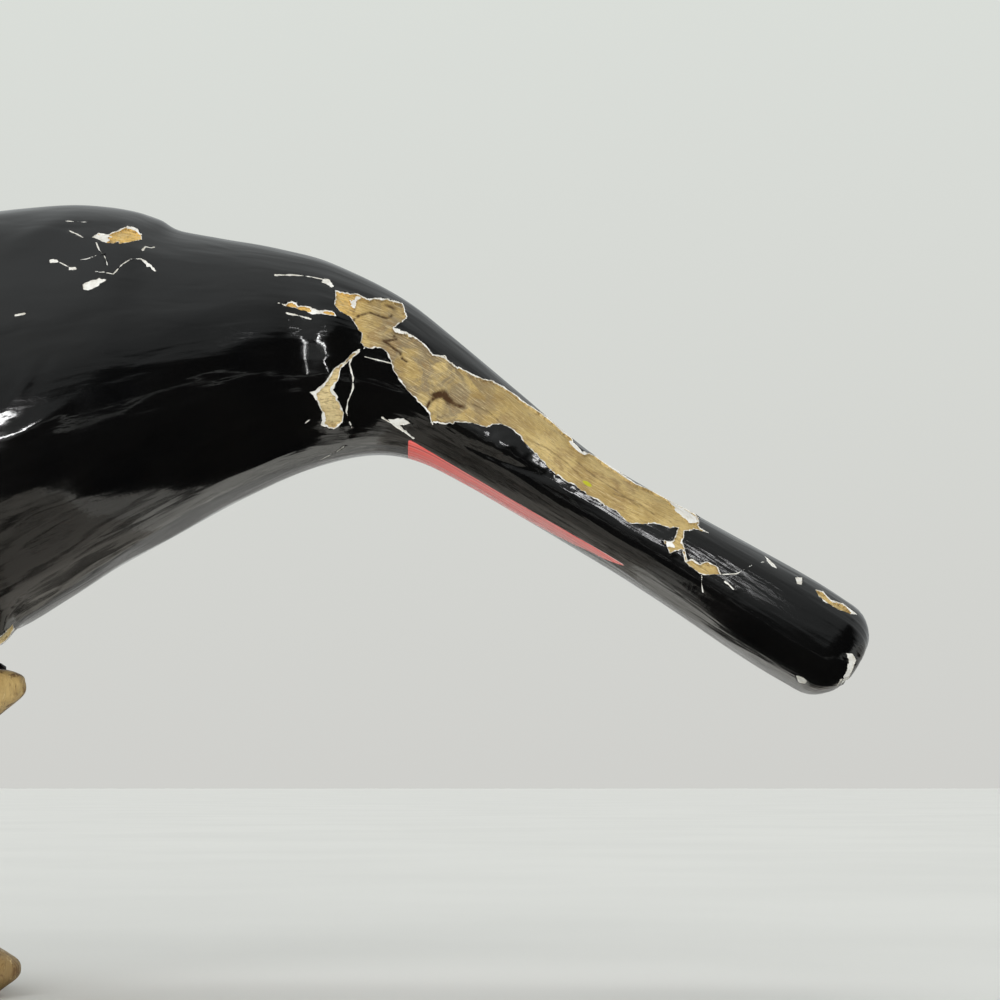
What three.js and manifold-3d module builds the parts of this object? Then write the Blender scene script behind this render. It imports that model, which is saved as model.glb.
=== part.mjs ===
// A life-size papier-mache toucan perched on a papier-mache tree stump.
// Millimetres, +Z up. The origin is the centre of the stump's flat underside.
// The bird faces -X and its tail points to +X; it is the same on both sides of the plane y = 0.

import * as THREE from 'three';
import { mergeVertices } from 'three/addons/utils/BufferGeometryUtils.js';
import Module from 'manifold-3d';

// ---------------------------------------------------------------- driving dimensions

const RING_SIDES = 32;            // facets round the bird
const SECTION_STEP = 13;          // length of the body between two sections
const TAIL_END_ROUNDING = 11;     // edge radius of the tail's blunt end
const BILL_TIP_ROUNDING = 3;
const CAP_STEPS = 3;              // rings in a rounded end

const PEAR = 0.15;                // sections are this much wider below their middle, and narrower above
const WING_RELIEF = 2.4;          // how far the folded wing stands out of the flank
const WING_EDGE = 9;              // breadth of the soft step round the wing
const WING_SHOULDER = { x: -72, z: 214 };
const WING_TIP = { x: 96, z: 252 };
const WING_BREADTH = 40;          // greatest half breadth, across the wing's axis
const WING_FULLNESS = 0.6;        // under 1 puts the broadest place near the shoulder

const STUMP_TOP_BACK = 107;       // height of the cut top where x = STUMP_BACK
const STUMP_BACK = 38;
const STUMP_TOP_SLOPE = 0.13;     // the cut falls towards the bird's breast
const STUMP_RADIUS = 35.5;
const STUMP_SIDES = 48;
const STUMP_EDGE = 3;             // bevel of the cut edge
const STUMP_WAIST = 1.2;          // how far the trunk draws in at half height
const STUMP_FLARE = { reach: 2.5, fall: 16 };
const BARK_WAVES = [{ depth: 0.72, waves: 2, lean: 0 }, { depth: 0.56, waves: 5, lean: 1 / 30 }];

const THIGH = { x: 17, y: 17, z: 120, length: 18, breadth: 12, height: 15 };
const TOE = { radius: 4.6, front: 18, back: 11, lift: 0.7 };
const TOE_TURNS = [[-1, 0.19], [-1, -0.26], [1, 0.17], [1, -0.27]];   // way, and turn outwards
const REST_GAP = 0.3;             // between the soles and the stump

// Each rib is one section of the bird: its top and bottom points in the plane y = 0, its half
// width, and how square it is (2 is an ellipse, 3 a slab with round edges).
const RIBS = [
  { top: [320.8, 127.6], bottom: [304.2, 100.4], half: 29, square: 2.9 },    // tail, blunt end
  { top: [304.6, 138.0], bottom: [287.8, 110.4], half: 28.5, square: 2.9 },
  { top: [271.0, 157.0], bottom: [254.0, 133.0], half: 27, square: 2.8 },
  { top: [237.4, 176.8], bottom: [222.5, 152.0], half: 25, square: 2.7 },
  { top: [210.6, 199.8], bottom: [195.0, 168.0], half: 24.5, square: 2.5 },
  { top: [189.2, 218.3], bottom: [175.5, 177.2], half: 26.5, square: 2.4 },   // root of the tail
  { top: [171.5, 231.8], bottom: [159.0, 178.6], half: 30.5, square: 2.3 },
  { top: [152.0, 241.1], bottom: [138.5, 173.7], half: 36.5, square: 2.2 },
  { top: [131.7, 247.0], bottom: [117.5, 164.2], half: 43, square: 2.15 },   // rump
  { top: [112.0, 251.0], bottom: [95.5, 151.6], half: 49, square: 2.1 },
  { top: [96.0, 254.2], bottom: [77.5, 141.4], half: 53, square: 2.1 },      // behind the wing tips
  { top: [84.5, 259.9], bottom: [61.5, 131.0], half: 55.5, square: 2.1 },
  { top: [66.0, 261.8], bottom: [42.0, 119.8], half: 58, square: 2.1 },
  { top: [45.0, 260.4], bottom: [19.0, 113.0], half: 59.5, square: 2.1 },    // over the legs
  { top: [20.0, 257.4], bottom: [-11.0, 111.5], half: 60, square: 2.1 },
  { top: [-8.0, 258.0], bottom: [-44.0, 119.5], half: 58, square: 2.1 },
  { top: [-35.0, 265.5], bottom: [-75.0, 141.0], half: 53, square: 2.1 },    // breast
  { top: [-58.0, 279.0], bottom: [-98.0, 172.0], half: 46.5, square: 2.1 },
  { top: [-78.0, 295.0], bottom: [-111.0, 205.0], half: 40.5, square: 2.1 },  // neck
  { top: [-98.0, 308.5], bottom: [-124.0, 229.0], half: 37, square: 2.1 },
  { top: [-122.0, 314.0], bottom: [-138.0, 239.5], half: 34.5, square: 2.1 },  // crown
  { top: [-143.0, 309.5], bottom: [-150.0, 241.5], half: 30, square: 2.1 },
  { top: [-150.0, 304.0], bottom: [-156.0, 244.0], half: 24.5, square: 2.1 },  // root of the bill
  { top: [-172.0, 305.5], bottom: [-176.0, 242.5], half: 22.5, square: 2.0 },
  { top: [-205.0, 302.0], bottom: [-206.0, 241.0], half: 19.5, square: 1.95 },
  { top: [-235.0, 291.5], bottom: [-232.0, 239.8], half: 15.5, square: 1.9 },
  { top: [-259.0, 275.0], bottom: [-253.0, 239.0], half: 11, square: 1.9 },
  { top: [-276.0, 254.5], bottom: [-269.0, 236.0], half: 6.5, square: 1.95 },
  { top: [-282.0, 239.0], bottom: [-278.0, 230.5], half: 3.6, square: 2 },     // hooked tip
];

// The stump's lumps: where each one is round the trunk and up it, and how far out it reaches.
const LUMPS = [
  { turn: 0, reach: 48.6, level: 9, rise: 7, spread: 0.24 },     // root toe under the tail
  { turn: 60, reach: 59, level: 4, rise: 13, spread: 0.36 },     // the other root toes
  { turn: 117, reach: 63, level: 4, rise: 15, spread: 0.38 },
  { turn: 172, reach: 68, level: 4, rise: 15, spread: 0.4 },
  { turn: 232, reach: 64, level: 4, rise: 14, spread: 0.38 },
  { turn: 294, reach: 61, level: 4, rise: 13, spread: 0.36 },
  { turn: 0, reach: 48.2, level: 100, rise: 8, spread: 0.2 },      // knob of a cut branch
  { turn: 208, reach: 45, level: 60, rise: 10, spread: 0.26 },   // a second one in front
];

// ---------------------------------------------------------------- closed meshes

const signedPower = (value, power) => Math.sign(value) * Math.abs(value) ** power;

const smooth = (value) => {
  const share = THREE.MathUtils.clamp(value, 0, 1);
  return share * share * (3 - 2 * share);
};

// A closed body from rings with the same number of points, each ring ended by a flat fan.
function loft(rings) {
  const sides = rings[0].length;
  const centre = (ring) => ring.reduce((sum, p) => sum.add(p), new THREE.Vector3()).divideScalar(sides);
  const points = [...rings.flat(), centre(rings[0]), centre(rings.at(-1))];
  const firstCentre = rings.length * sides;
  const triangles = [];
  for (let ring = 0; ring < rings.length - 1; ring += 1) {
    for (let side = 0; side < sides; side += 1) {
      const next = (side + 1) % sides;
      const [a, b] = [ring * sides + side, ring * sides + next];
      const [c, d] = [a + sides, b + sides];
      triangles.push(a, b, c, b, d, c);
    }
  }
  const last = (rings.length - 1) * sides;
  for (let side = 0; side < sides; side += 1) {
    const next = (side + 1) % sides;
    triangles.push(firstCentre, next, side);
    triangles.push(firstCentre + 1, last + side, last + next);
  }
  const geometry = new THREE.BufferGeometry();
  geometry.setAttribute('position', new THREE.Float32BufferAttribute(points.flatMap((p) => p.toArray()), 3));
  geometry.setIndex(triangles);
  return geometry;
}

// ---------------------------------------------------------------- the bird's body

// The ribs between the given ones, from smooth curves through their tops, bottoms and breadths.
function bodySections() {
  const through = (pick) => new THREE.CatmullRomCurve3(RIBS.map(pick), false, 'catmullrom', 0.5);
  const tops = through((rib) => new THREE.Vector3(rib.top[0], 0, rib.top[1]));
  const bottoms = through((rib) => new THREE.Vector3(rib.bottom[0], 0, rib.bottom[1]));
  const breadths = through((rib) => new THREE.Vector3(rib.half, rib.square, 0));
  const sections = [];
  for (let index = 0; index < RIBS.length - 1; index += 1) {
    const steps = Math.max(1, Math.round(ribGap(RIBS[index], RIBS[index + 1]) / SECTION_STEP));
    for (let step = 0; step < steps; step += 1) {
      sections.push(sectionAt((index + step / steps) / (RIBS.length - 1), tops, bottoms, breadths));
    }
  }
  sections.push(sectionAt(1, tops, bottoms, breadths));
  return sections;
}

const ribGap = (one, two) => Math.max(
  Math.hypot(one.top[0] - two.top[0], one.top[1] - two.top[1]),
  Math.hypot(one.bottom[0] - two.bottom[0], one.bottom[1] - two.bottom[1]),
);

function sectionAt(share, tops, bottoms, breadths) {
  const breadth = breadths.getPoint(share);
  return { top: tops.getPoint(share), bottom: bottoms.getPoint(share), half: breadth.x, square: breadth.y };
}

// The rings of a rounded end: the section moves along the axis and draws in by the same radius.
function roundedEnd(section, axis, radius) {
  const upright = section.top.clone().sub(section.bottom).normalize();
  return Array.from({ length: CAP_STEPS }, (_, step) => {
    const angle = ((step + 1) / CAP_STEPS) * (Math.PI / 2);
    const shift = axis.clone().multiplyScalar(radius * Math.sin(angle));
    const inset = radius * (1 - Math.cos(angle));
    return {
      top: section.top.clone().add(shift).addScaledVector(upright, -inset),
      bottom: section.bottom.clone().add(shift).addScaledVector(upright, inset),
      half: section.half - inset,
      square: section.square,
    };
  });
}

// How far the folded wing stands out at a place on the flank, seen from the side.
function wingRelief(x, z) {
  const [alongX, alongZ] = [WING_TIP.x - WING_SHOULDER.x, WING_TIP.z - WING_SHOULDER.z];
  const length = Math.hypot(alongX, alongZ);
  const along = ((x - WING_SHOULDER.x) * alongX + (z - WING_SHOULDER.z) * alongZ) / length ** 2;
  const across = ((z - WING_SHOULDER.z) * alongX - (x - WING_SHOULDER.x) * alongZ) / length;
  if (along <= 0 || along >= 1) return 0;
  const halfBreadth = WING_BREADTH * Math.sqrt(Math.sin(Math.PI * along ** WING_FULLNESS));
  return WING_RELIEF * smooth((halfBreadth - Math.abs(across)) / WING_EDGE);
}

function bodyRing({ top, bottom, half, square }) {
  const middle = top.clone().add(bottom).multiplyScalar(0.5);
  const upright = top.clone().sub(middle);
  return Array.from({ length: RING_SIDES }, (_, side) => {
    const angle = (side / RING_SIDES) * Math.PI * 2;
    const rise = signedPower(Math.sin(angle), 2 / square);
    const point = middle.clone().addScaledVector(upright, rise);
    const out = -signedPower(Math.cos(angle), 2 / square);
    point.y = out * (half * (1 - PEAR * rise) + wingRelief(point.x, point.z));
    return point;
  });
}

function birdBody() {
  const sections = bodySections();
  const [tail, beforeTail] = sections;
  const [bill, beforeBill] = [sections.at(-1), sections.at(-2)];
  const axisTo = (from, to) => to.top.clone().add(to.bottom).sub(from.top).sub(from.bottom).normalize();
  const tailEnd = roundedEnd(tail, axisTo(beforeTail, tail), TAIL_END_ROUNDING);
  const billEnd = roundedEnd(bill, axisTo(beforeBill, bill), BILL_TIP_ROUNDING);
  return loft([...tailEnd.reverse(), ...sections, ...billEnd].map(bodyRing));
}

// ---------------------------------------------------------------- thighs and toes

const stumpTop = (x) => STUMP_TOP_BACK - (STUMP_BACK - x) * STUMP_TOP_SLOPE;

function thigh(side) {
  const dome = new THREE.SphereGeometry(1, 16, 8);
  dome.scale(THIGH.length, THIGH.breadth, THIGH.height);
  dome.translate(THIGH.x, side * THIGH.y, THIGH.z);
  return dome;
}

// One toe lies along the cut top from under the thigh, forwards (-1) or backwards (+1).
function toe(side, forwards, outwards) {
  const reach = forwards < 0 ? TOE.front : TOE.back;
  const geometry = new THREE.CapsuleGeometry(TOE.radius, reach, 3, 10);
  geometry.rotateZ(Math.PI / 2);
  geometry.translate(forwards * reach / 2, 0, 0);
  geometry.rotateZ(forwards * outwards * side);
  geometry.rotateY(-Math.atan(STUMP_TOP_SLOPE));
  geometry.translate(THIGH.x, side * THIGH.y, stumpTop(THIGH.x) + TOE.radius * TOE.lift);
  return geometry;
}

// Everything below the cut top, less the gap that the soles keep to it.
function belowSoles() {
  const size = 200;
  const block = new THREE.BoxGeometry(size, size, size);
  block.translate(0, 0, -size / 2);
  block.rotateY(-Math.atan(STUMP_TOP_SLOPE));
  block.translate(0, 0, stumpTop(0) + REST_GAP);
  return block;
}

// ---------------------------------------------------------------- the stump

function stumpRadius(turn, height) {
  const angle = THREE.MathUtils.degToRad(turn);
  const wave = (sum, { depth, waves, lean }) => sum + depth * Math.sin(waves * angle + height * lean);
  const flare = STUMP_FLARE.reach * Math.exp(-height / STUMP_FLARE.fall);
  const waist = STUMP_WAIST * Math.sin((Math.PI * height) / STUMP_TOP_BACK);
  const trunk = BARK_WAVES.reduce(wave, STUMP_RADIUS + flare - waist);
  return LUMPS.reduce((radius, lump) => {
    const away = Math.abs(((turn - lump.turn + 540) % 360) - 180) * THREE.MathUtils.DEG2RAD;
    const round = Math.exp(-((away / lump.spread) ** 2));
    const up = Math.exp(-(Math.abs((height - lump.level) / lump.rise) ** 3));
    return radius + Math.max(0, lump.reach - trunk) * round * up;
  }, trunk);
}

function stumpRing(height, inset) {
  return Array.from({ length: STUMP_SIDES }, (_, side) => {
    const turn = (side / STUMP_SIDES) * 360;
    const radius = stumpRadius(turn, height) - inset;
    const angle = THREE.MathUtils.degToRad(turn);
    const [x, y] = [radius * Math.cos(angle), radius * Math.sin(angle)];
    return new THREE.Vector3(x, y, (height / STUMP_TOP_BACK) * stumpTop(x));
  });
}

// Close rings at the roots and the knobs, wider ones up the plain trunk.
function stump() {
  const roots = [1.5, 4, 7, 10, 13, 16, 20];
  const trunk = [26, 34, 42, 49, 54, 58, 62, 67, 75, 84];
  const knob = [90, 93.5, 97, 100.5, 104];
  const side = [...roots, ...trunk, ...knob].map((level) => stumpRing(level, 0));
  return loft([stumpRing(0, STUMP_EDGE / 2), ...side, stumpRing(STUMP_TOP_BACK, STUMP_EDGE)]);
}

// ---------------------------------------------------------------- joining

const wasm = await Module();
wasm.setup();

function solid(geometry) {
  const bare = geometry.clone();
  bare.deleteAttribute('normal');
  bare.deleteAttribute('uv');
  const merged = mergeVertices(bare, 1e-4);
  const vertProperties = new Float32Array(merged.attributes.position.array);
  const triVerts = new Uint32Array(merged.index.array);
  return new wasm.Manifold(new wasm.Mesh({ numProp: 3, vertProperties, triVerts }));
}

function geometryOf(manifold) {
  const { vertProperties, triVerts } = manifold.getMesh();
  const geometry = new THREE.BufferGeometry();
  geometry.setAttribute('position', new THREE.BufferAttribute(vertProperties, 3));
  geometry.setIndex(new THREE.BufferAttribute(triVerts, 1));
  return geometry;
}

function bird() {
  let whole = solid(birdBody());
  for (const side of [-1, 1]) {
    whole = whole.add(solid(thigh(side)));
    for (const [forwards, outwards] of TOE_TURNS) {
      whole = whole.add(solid(toe(side, forwards, outwards)));
    }
  }
  return geometryOf(whole.subtract(solid(belowSoles())));
}

// ---------------------------------------------------------------- the scene graph

function piece(name, geometry, colour, roughness) {
  const material = new THREE.MeshStandardMaterial({ color: colour, roughness, metalness: 0 });
  geometry.computeVertexNormals();
  const mesh = new THREE.Mesh(geometry, material);
  mesh.name = name;
  return mesh;
}

const toucan = new THREE.Group();
toucan.add(piece('bird', bird(), 0x0c0c0e, 0.2));
toucan.add(piece('stump', stump(), 0x9a7646, 0.5));

export default toucan;
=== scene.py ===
"""The looks of a life-size papier-mache toucan on its tree-stump stand.

The bird is one painted shell. Its surface is a loft through ribs, laid out as a fine lattice of rows
along the bird and columns round it. Fields on that lattice say where the paint has come away, where
the gesso under it has gone too, and where each colour of paint ends. The mesh is cut along the edges
of those fields, so every loss has a real step down from paint to gesso to bare paper.

Shapes are worked out in millimetres and turned into metres when a mesh is made.
"""

import itertools
import math

import bmesh
import bpy
import numpy as np
from mathutils import Euler, Matrix, Vector
from mathutils.geometry import delaunay_2d_cdt


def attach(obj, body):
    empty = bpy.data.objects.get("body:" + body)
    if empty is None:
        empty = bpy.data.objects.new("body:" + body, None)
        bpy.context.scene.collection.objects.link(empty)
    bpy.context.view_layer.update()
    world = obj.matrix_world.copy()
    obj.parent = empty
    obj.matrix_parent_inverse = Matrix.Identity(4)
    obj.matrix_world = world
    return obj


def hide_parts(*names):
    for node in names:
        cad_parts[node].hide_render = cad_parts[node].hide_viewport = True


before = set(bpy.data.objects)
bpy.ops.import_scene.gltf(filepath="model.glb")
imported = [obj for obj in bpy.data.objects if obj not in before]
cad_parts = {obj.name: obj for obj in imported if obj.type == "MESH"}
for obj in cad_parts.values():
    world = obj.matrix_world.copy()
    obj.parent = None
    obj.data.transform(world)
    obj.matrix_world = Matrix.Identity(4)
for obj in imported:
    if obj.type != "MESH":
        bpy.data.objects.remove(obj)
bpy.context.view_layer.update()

MM = 0.001
BODY = "root"

# ---- the camera's place

VIEW_TARGET = np.array([205.0, 0.0, 163.3])
VIEW_DISTANCE = 900.0
VIEW_ELEVATION = -6.0
VIEW_WIDTH = 333.3          # millimetres across the picture at the target
SENSOR = 36.0


def camera_place():
    tilt = math.radians(VIEW_ELEVATION)
    return VIEW_TARGET + VIEW_DISTANCE * np.array([0, -math.cos(tilt), math.sin(tilt)])


def side_view(points):
    """Where points show from the camera, on the plane y = 0. The far side counts as its mirror image."""
    eye = camera_place()
    near = points * [1, 0, 1] - np.abs(points[..., 1:2]) * [0, 1, 0]
    share = eye[1] / (eye[1] - near[..., 1])
    return (eye + (near - eye) * share[..., None])[..., [0, 2]]


# ---- the bird's form

# Each rib: its top and bottom in the plane y = 0, its half width, and how square it is.
RIBS = [
    ((320.8, 127.6), (304.2, 100.4), 29.0, 2.9),      # tail, blunt end
    ((304.6, 138.0), (287.8, 110.4), 28.5, 2.9),
    ((271.0, 157.0), (254.0, 133.0), 27.0, 2.8),
    ((237.4, 176.8), (222.5, 152.0), 25.0, 2.7),
    ((210.6, 199.8), (195.0, 168.0), 24.5, 2.5),
    ((189.2, 218.3), (175.5, 177.2), 26.5, 2.4),      # root of the tail
    ((171.5, 231.8), (159.0, 178.6), 30.5, 2.3),
    ((152.0, 241.1), (138.5, 173.7), 36.5, 2.2),
    ((131.7, 247.0), (117.5, 164.2), 43.0, 2.15),     # rump
    ((112.0, 251.0), (95.5, 151.6), 49.0, 2.1),
    ((96.0, 254.2), (77.5, 141.4), 53.0, 2.1),        # behind the wing tips
    ((84.5, 259.9), (61.5, 131.0), 55.5, 2.1),
    ((66.0, 261.8), (42.0, 119.8), 58.0, 2.1),
    ((45.0, 260.4), (19.0, 113.0), 59.5, 2.1),        # over the legs
    ((20.0, 257.4), (-11.0, 111.5), 60.0, 2.1),
    ((-8.0, 258.0), (-44.0, 119.5), 58.0, 2.1),
    ((-35.0, 265.5), (-75.0, 141.0), 53.0, 2.1),      # breast
    ((-58.0, 279.0), (-98.0, 172.0), 46.5, 2.1),
    ((-78.0, 295.0), (-111.0, 205.0), 40.5, 2.1),     # neck
    ((-98.0, 308.5), (-124.0, 229.0), 37.0, 2.1),
    ((-122.0, 314.0), (-138.0, 239.5), 34.5, 2.1),    # crown
    ((-143.0, 309.5), (-150.0, 241.5), 30.0, 2.1),
    ((-150.0, 304.0), (-156.0, 244.0), 24.5, 2.1),    # root of the bill
    ((-172.0, 305.5), (-176.0, 242.5), 22.5, 2.0),
    ((-205.0, 302.0), (-206.0, 241.0), 19.5, 1.95),
    ((-235.0, 291.5), (-232.0, 239.8), 15.5, 1.9),
    ((-259.0, 275.0), (-253.0, 239.0), 11.0, 1.9),
    ((-276.0, 254.5), (-269.0, 236.0), 6.5, 1.95),
    ((-282.0, 239.0), (-278.0, 230.5), 3.6, 2.0),     # hooked tip
]
PEAR = 0.15                  # sections are this much wider below their middle, and narrower above
BILL_RIB = 22                # the rib at the bill's root, counted from 0
TAIL_END_ROUNDING = 11.0
BILL_TIP_ROUNDING = 3.0
END_CROWN = 0.8              # how far the blunt ends bulge past their edge rounding

ROW_STEP = 0.36              # lattice spacing along the bird
COLUMNS = 1024               # lattice columns round it, from belly round the near side and back
RING_STEPS = 720             # steps in which a ring is first drawn
GIRTH = 300.0                # the flat layout's width, near the bird's mean girth


def spline(values, at):
    """A uniform Catmull-Rom curve through rows of values, at fractional row numbers."""
    values = np.asarray(values, float)
    padded = np.vstack([2 * values[0] - values[1], values, 2 * values[-1] - values[-2]])
    index = np.clip(np.floor(at).astype(int), 0, len(values) - 2)
    t = (at - index)[:, None]
    a, b, c, d = (padded[index + k] for k in range(4))
    curve = 2 * b + (c - a) * t + (2 * a - 5 * b + 4 * c - d) * t**2 + (3 * b - a - 3 * c + d) * t**3
    return curve / 2


def rib_rows():
    """The ribs and the rows between them, as top x, top z, bottom x, bottom z, half width, squareness."""
    ribs = np.array([[*top, *bottom, half, square] for top, bottom, half, square in RIBS])
    at = []
    for index in range(len(ribs) - 1):
        step = ribs[index + 1] - ribs[index]
        gap = max(np.hypot(*step[:2]), np.hypot(*step[2:4]))
        at.extend(index + np.arange(0, 1, ROW_STEP / gap))
    return spline(ribs, np.array([*at, len(ribs) - 1.0])), np.array([*at, len(ribs) - 1.0])


def rounded_end(row, before, radius):
    """Rows that close an end: the row draws in as it moves on, and then closes to a point."""
    top, bottom = row[:2], row[2:4]
    axis = (top + bottom) - (before[:2] + before[2:4])
    axis /= np.hypot(*axis)
    middle = (top + bottom) / 2
    upright = (top - bottom) / np.hypot(*(top - bottom))
    tall = np.hypot(*(top - bottom)) / 2
    rows = []
    for turn in np.linspace(0, math.pi / 2, max(5, int(radius * 4)))[1:]:
        rows.append((radius * math.sin(turn), radius * (1 - math.cos(turn)), 1.0))
    for shrink in np.linspace(1, 0, max(8, int((tall - radius) * 3)))[1:]:
        rows.append((radius + END_CROWN * (1 - shrink**2) ** 0.8, radius, shrink))
    made = []
    for shift, inset, shrink in rows:
        reach = (tall - inset) * shrink
        centre = middle + axis * shift
        made.append([*(centre + upright * reach), *(centre - upright * reach),
                     (row[4] - inset) * shrink, row[5]])
    return np.array(made)


def signed_power(value, power):
    return np.sign(value) * np.abs(value) ** power


def ring_points(row):
    """One row's points, evenly spaced round it, from the belly over the near side to the back and on."""
    turn = np.linspace(-math.pi, math.pi, RING_STEPS + 1)
    power = 2 / row[5]
    middle = (row[:2] + row[2:4]) / 2
    upright = row[:2] - middle
    rise = signed_power(np.cos(turn), power)
    out = signed_power(np.sin(turn), power) * row[4] * (1 - PEAR * rise)
    line = np.stack([middle[0] + upright[0] * rise, out, middle[1] + upright[1] * rise], axis=1)
    run = np.concatenate([[0], np.cumsum(np.linalg.norm(np.diff(line, axis=0), axis=1))])
    if run[-1] < 1e-9:
        return np.repeat(line[:1], COLUMNS + 1, axis=0)
    even = np.linspace(0, run[-1], COLUMNS + 1)
    points = np.stack([np.interp(even, run, line[:, axis]) for axis in range(3)], axis=1)
    points[-1] = points[0]
    return points


def sample(field, row, column):
    """A field's values at fractional rows and columns."""
    r = np.clip(np.floor(row).astype(int), 0, field.shape[0] - 2)
    c = np.clip(np.floor(column).astype(int), 0, field.shape[1] - 2)
    y, x = row - r, column - c
    if field.ndim == 3:
        y, x = y[:, None], x[:, None]
    low = field[r, c] * (1 - x) + field[r, c + 1] * x
    high = field[r + 1, c] * (1 - x) + field[r + 1, c + 1] * x
    return low * (1 - y) + high * y


RIDGE_MARGIN = 8.5           # losses and cracks stop this far from the middle of the back
RIDGE_SHARE = 0.13           # or this share of the way round, on the small rings
SEARCH_STRIDE = 4            # a place is first looked for on every fourth row and column
SEARCH_STEPS = 4             # and is then closed in on this many times


class Lattice:
    """The bird's smooth surface as a fine grid: places, outward normals and distances along it."""

    def __init__(self):
        rows, rib_of_row = rib_rows()
        tail = rounded_end(rows[0], rows[1], TAIL_END_ROUNDING)[::-1]
        bill = rounded_end(rows[-1], rows[-2], BILL_TIP_ROUNDING)
        self.points = np.array([ring_points(row) for row in np.vstack([tail, rows, bill])])
        steps = np.linalg.norm(np.diff(self.points[:, :-1], axis=0), axis=2).mean(axis=1)
        self.run = np.concatenate([[0], np.cumsum(steps)])
        self.bill_run = self.run[len(tail) + int(np.searchsorted(rib_of_row, BILL_RIB))]
        self.normals = self.make_normals()
        self.side = side_view(self.points)
        self.shape = self.points.shape[:2]

    def make_normals(self):
        wrapped = np.concatenate([self.points[:, -2:-1], self.points, self.points[:, 1:2]], axis=1)
        round_it = wrapped[:, 2:] - wrapped[:, :-2]
        along = np.gradient(self.points, axis=0)
        normals = np.cross(along, round_it)
        length = np.linalg.norm(normals, axis=2, keepdims=True)
        normals = normals / np.maximum(length, 1e-12)
        outward = np.sign((normals * (self.points - self.points.mean(axis=1, keepdims=True))).sum())
        normals *= outward
        for end, inward in ((0, 3), (-1, -4)):
            normals[end] = normals[inward].mean(axis=0) / np.linalg.norm(normals[inward].mean(axis=0))
        return normals

    def locate(self, outline):
        """The near side's rows and columns that show at places in the side view."""
        stride = SEARCH_STRIDE
        half = self.shape[1] // 2
        coarse = self.side[::stride, : half + 1 : stride]
        found = []
        for place in outline:
            gap = ((coarse - place) ** 2).sum(axis=2)
            row, column = np.unravel_index(np.argmin(gap), gap.shape)
            row, column = float(row * stride), float(column * stride)
            for _ in range(SEARCH_STEPS):
                at = np.array([row, row + 1, row]), np.array([column, column, column + 1])
                here, down, across = sample(self.side, *at)
                slope = np.stack([down - here, across - here], axis=1)
                if abs(np.linalg.det(slope)) < 1e-6:
                    break
                move = np.clip(np.linalg.solve(slope, place - here), -stride, stride)
                row = float(np.clip(row + move[0], 1, self.shape[0] - 3))
                column = float(np.clip(column + move[1], 1, half - 1))
            found.append((row, column))
        found = np.array(found)
        rows = found[:, 0].astype(int)
        step = np.linalg.norm(self.points[rows, half] - self.points[rows, half - 1], axis=1)
        margin = np.minimum(RIDGE_MARGIN / np.maximum(step, 1e-6), RIDGE_SHARE * half)
        found[:, 1] = np.minimum(found[:, 1], half - margin)
        return found


# ---- noise

NOISE_CELLS = 32


def noise(points, size, seed):
    """Smooth seeded noise from -1 to 1, in lumps about size across; size may differ by axis."""
    table = np.random.default_rng(seed).uniform(-1, 1, (NOISE_CELLS,) * 3)
    scaled = points / size
    cell = np.floor(scaled).astype(int)
    part = scaled - cell
    part = part * part * (3 - 2 * part)
    total = 0.0
    for corner in itertools.product((0, 1), repeat=3):
        weight = np.prod([part[..., k] if corner[k] else 1 - part[..., k] for k in range(3)], axis=0)
        a, b, c = ((cell[..., k] + corner[k]) % NOISE_CELLS for k in range(3))
        total = total + weight * table[a, b, c]
    return total


def layered_noise(points, size, seed, layers=3):
    return sum(noise(points, size / 2**k, seed + k) / 2**k for k in range(layers))


def smooth(value):
    value = np.clip(value, 0, 1)
    return value * value * (3 - 2 * value)


# ---- where the paint is lost

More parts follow.
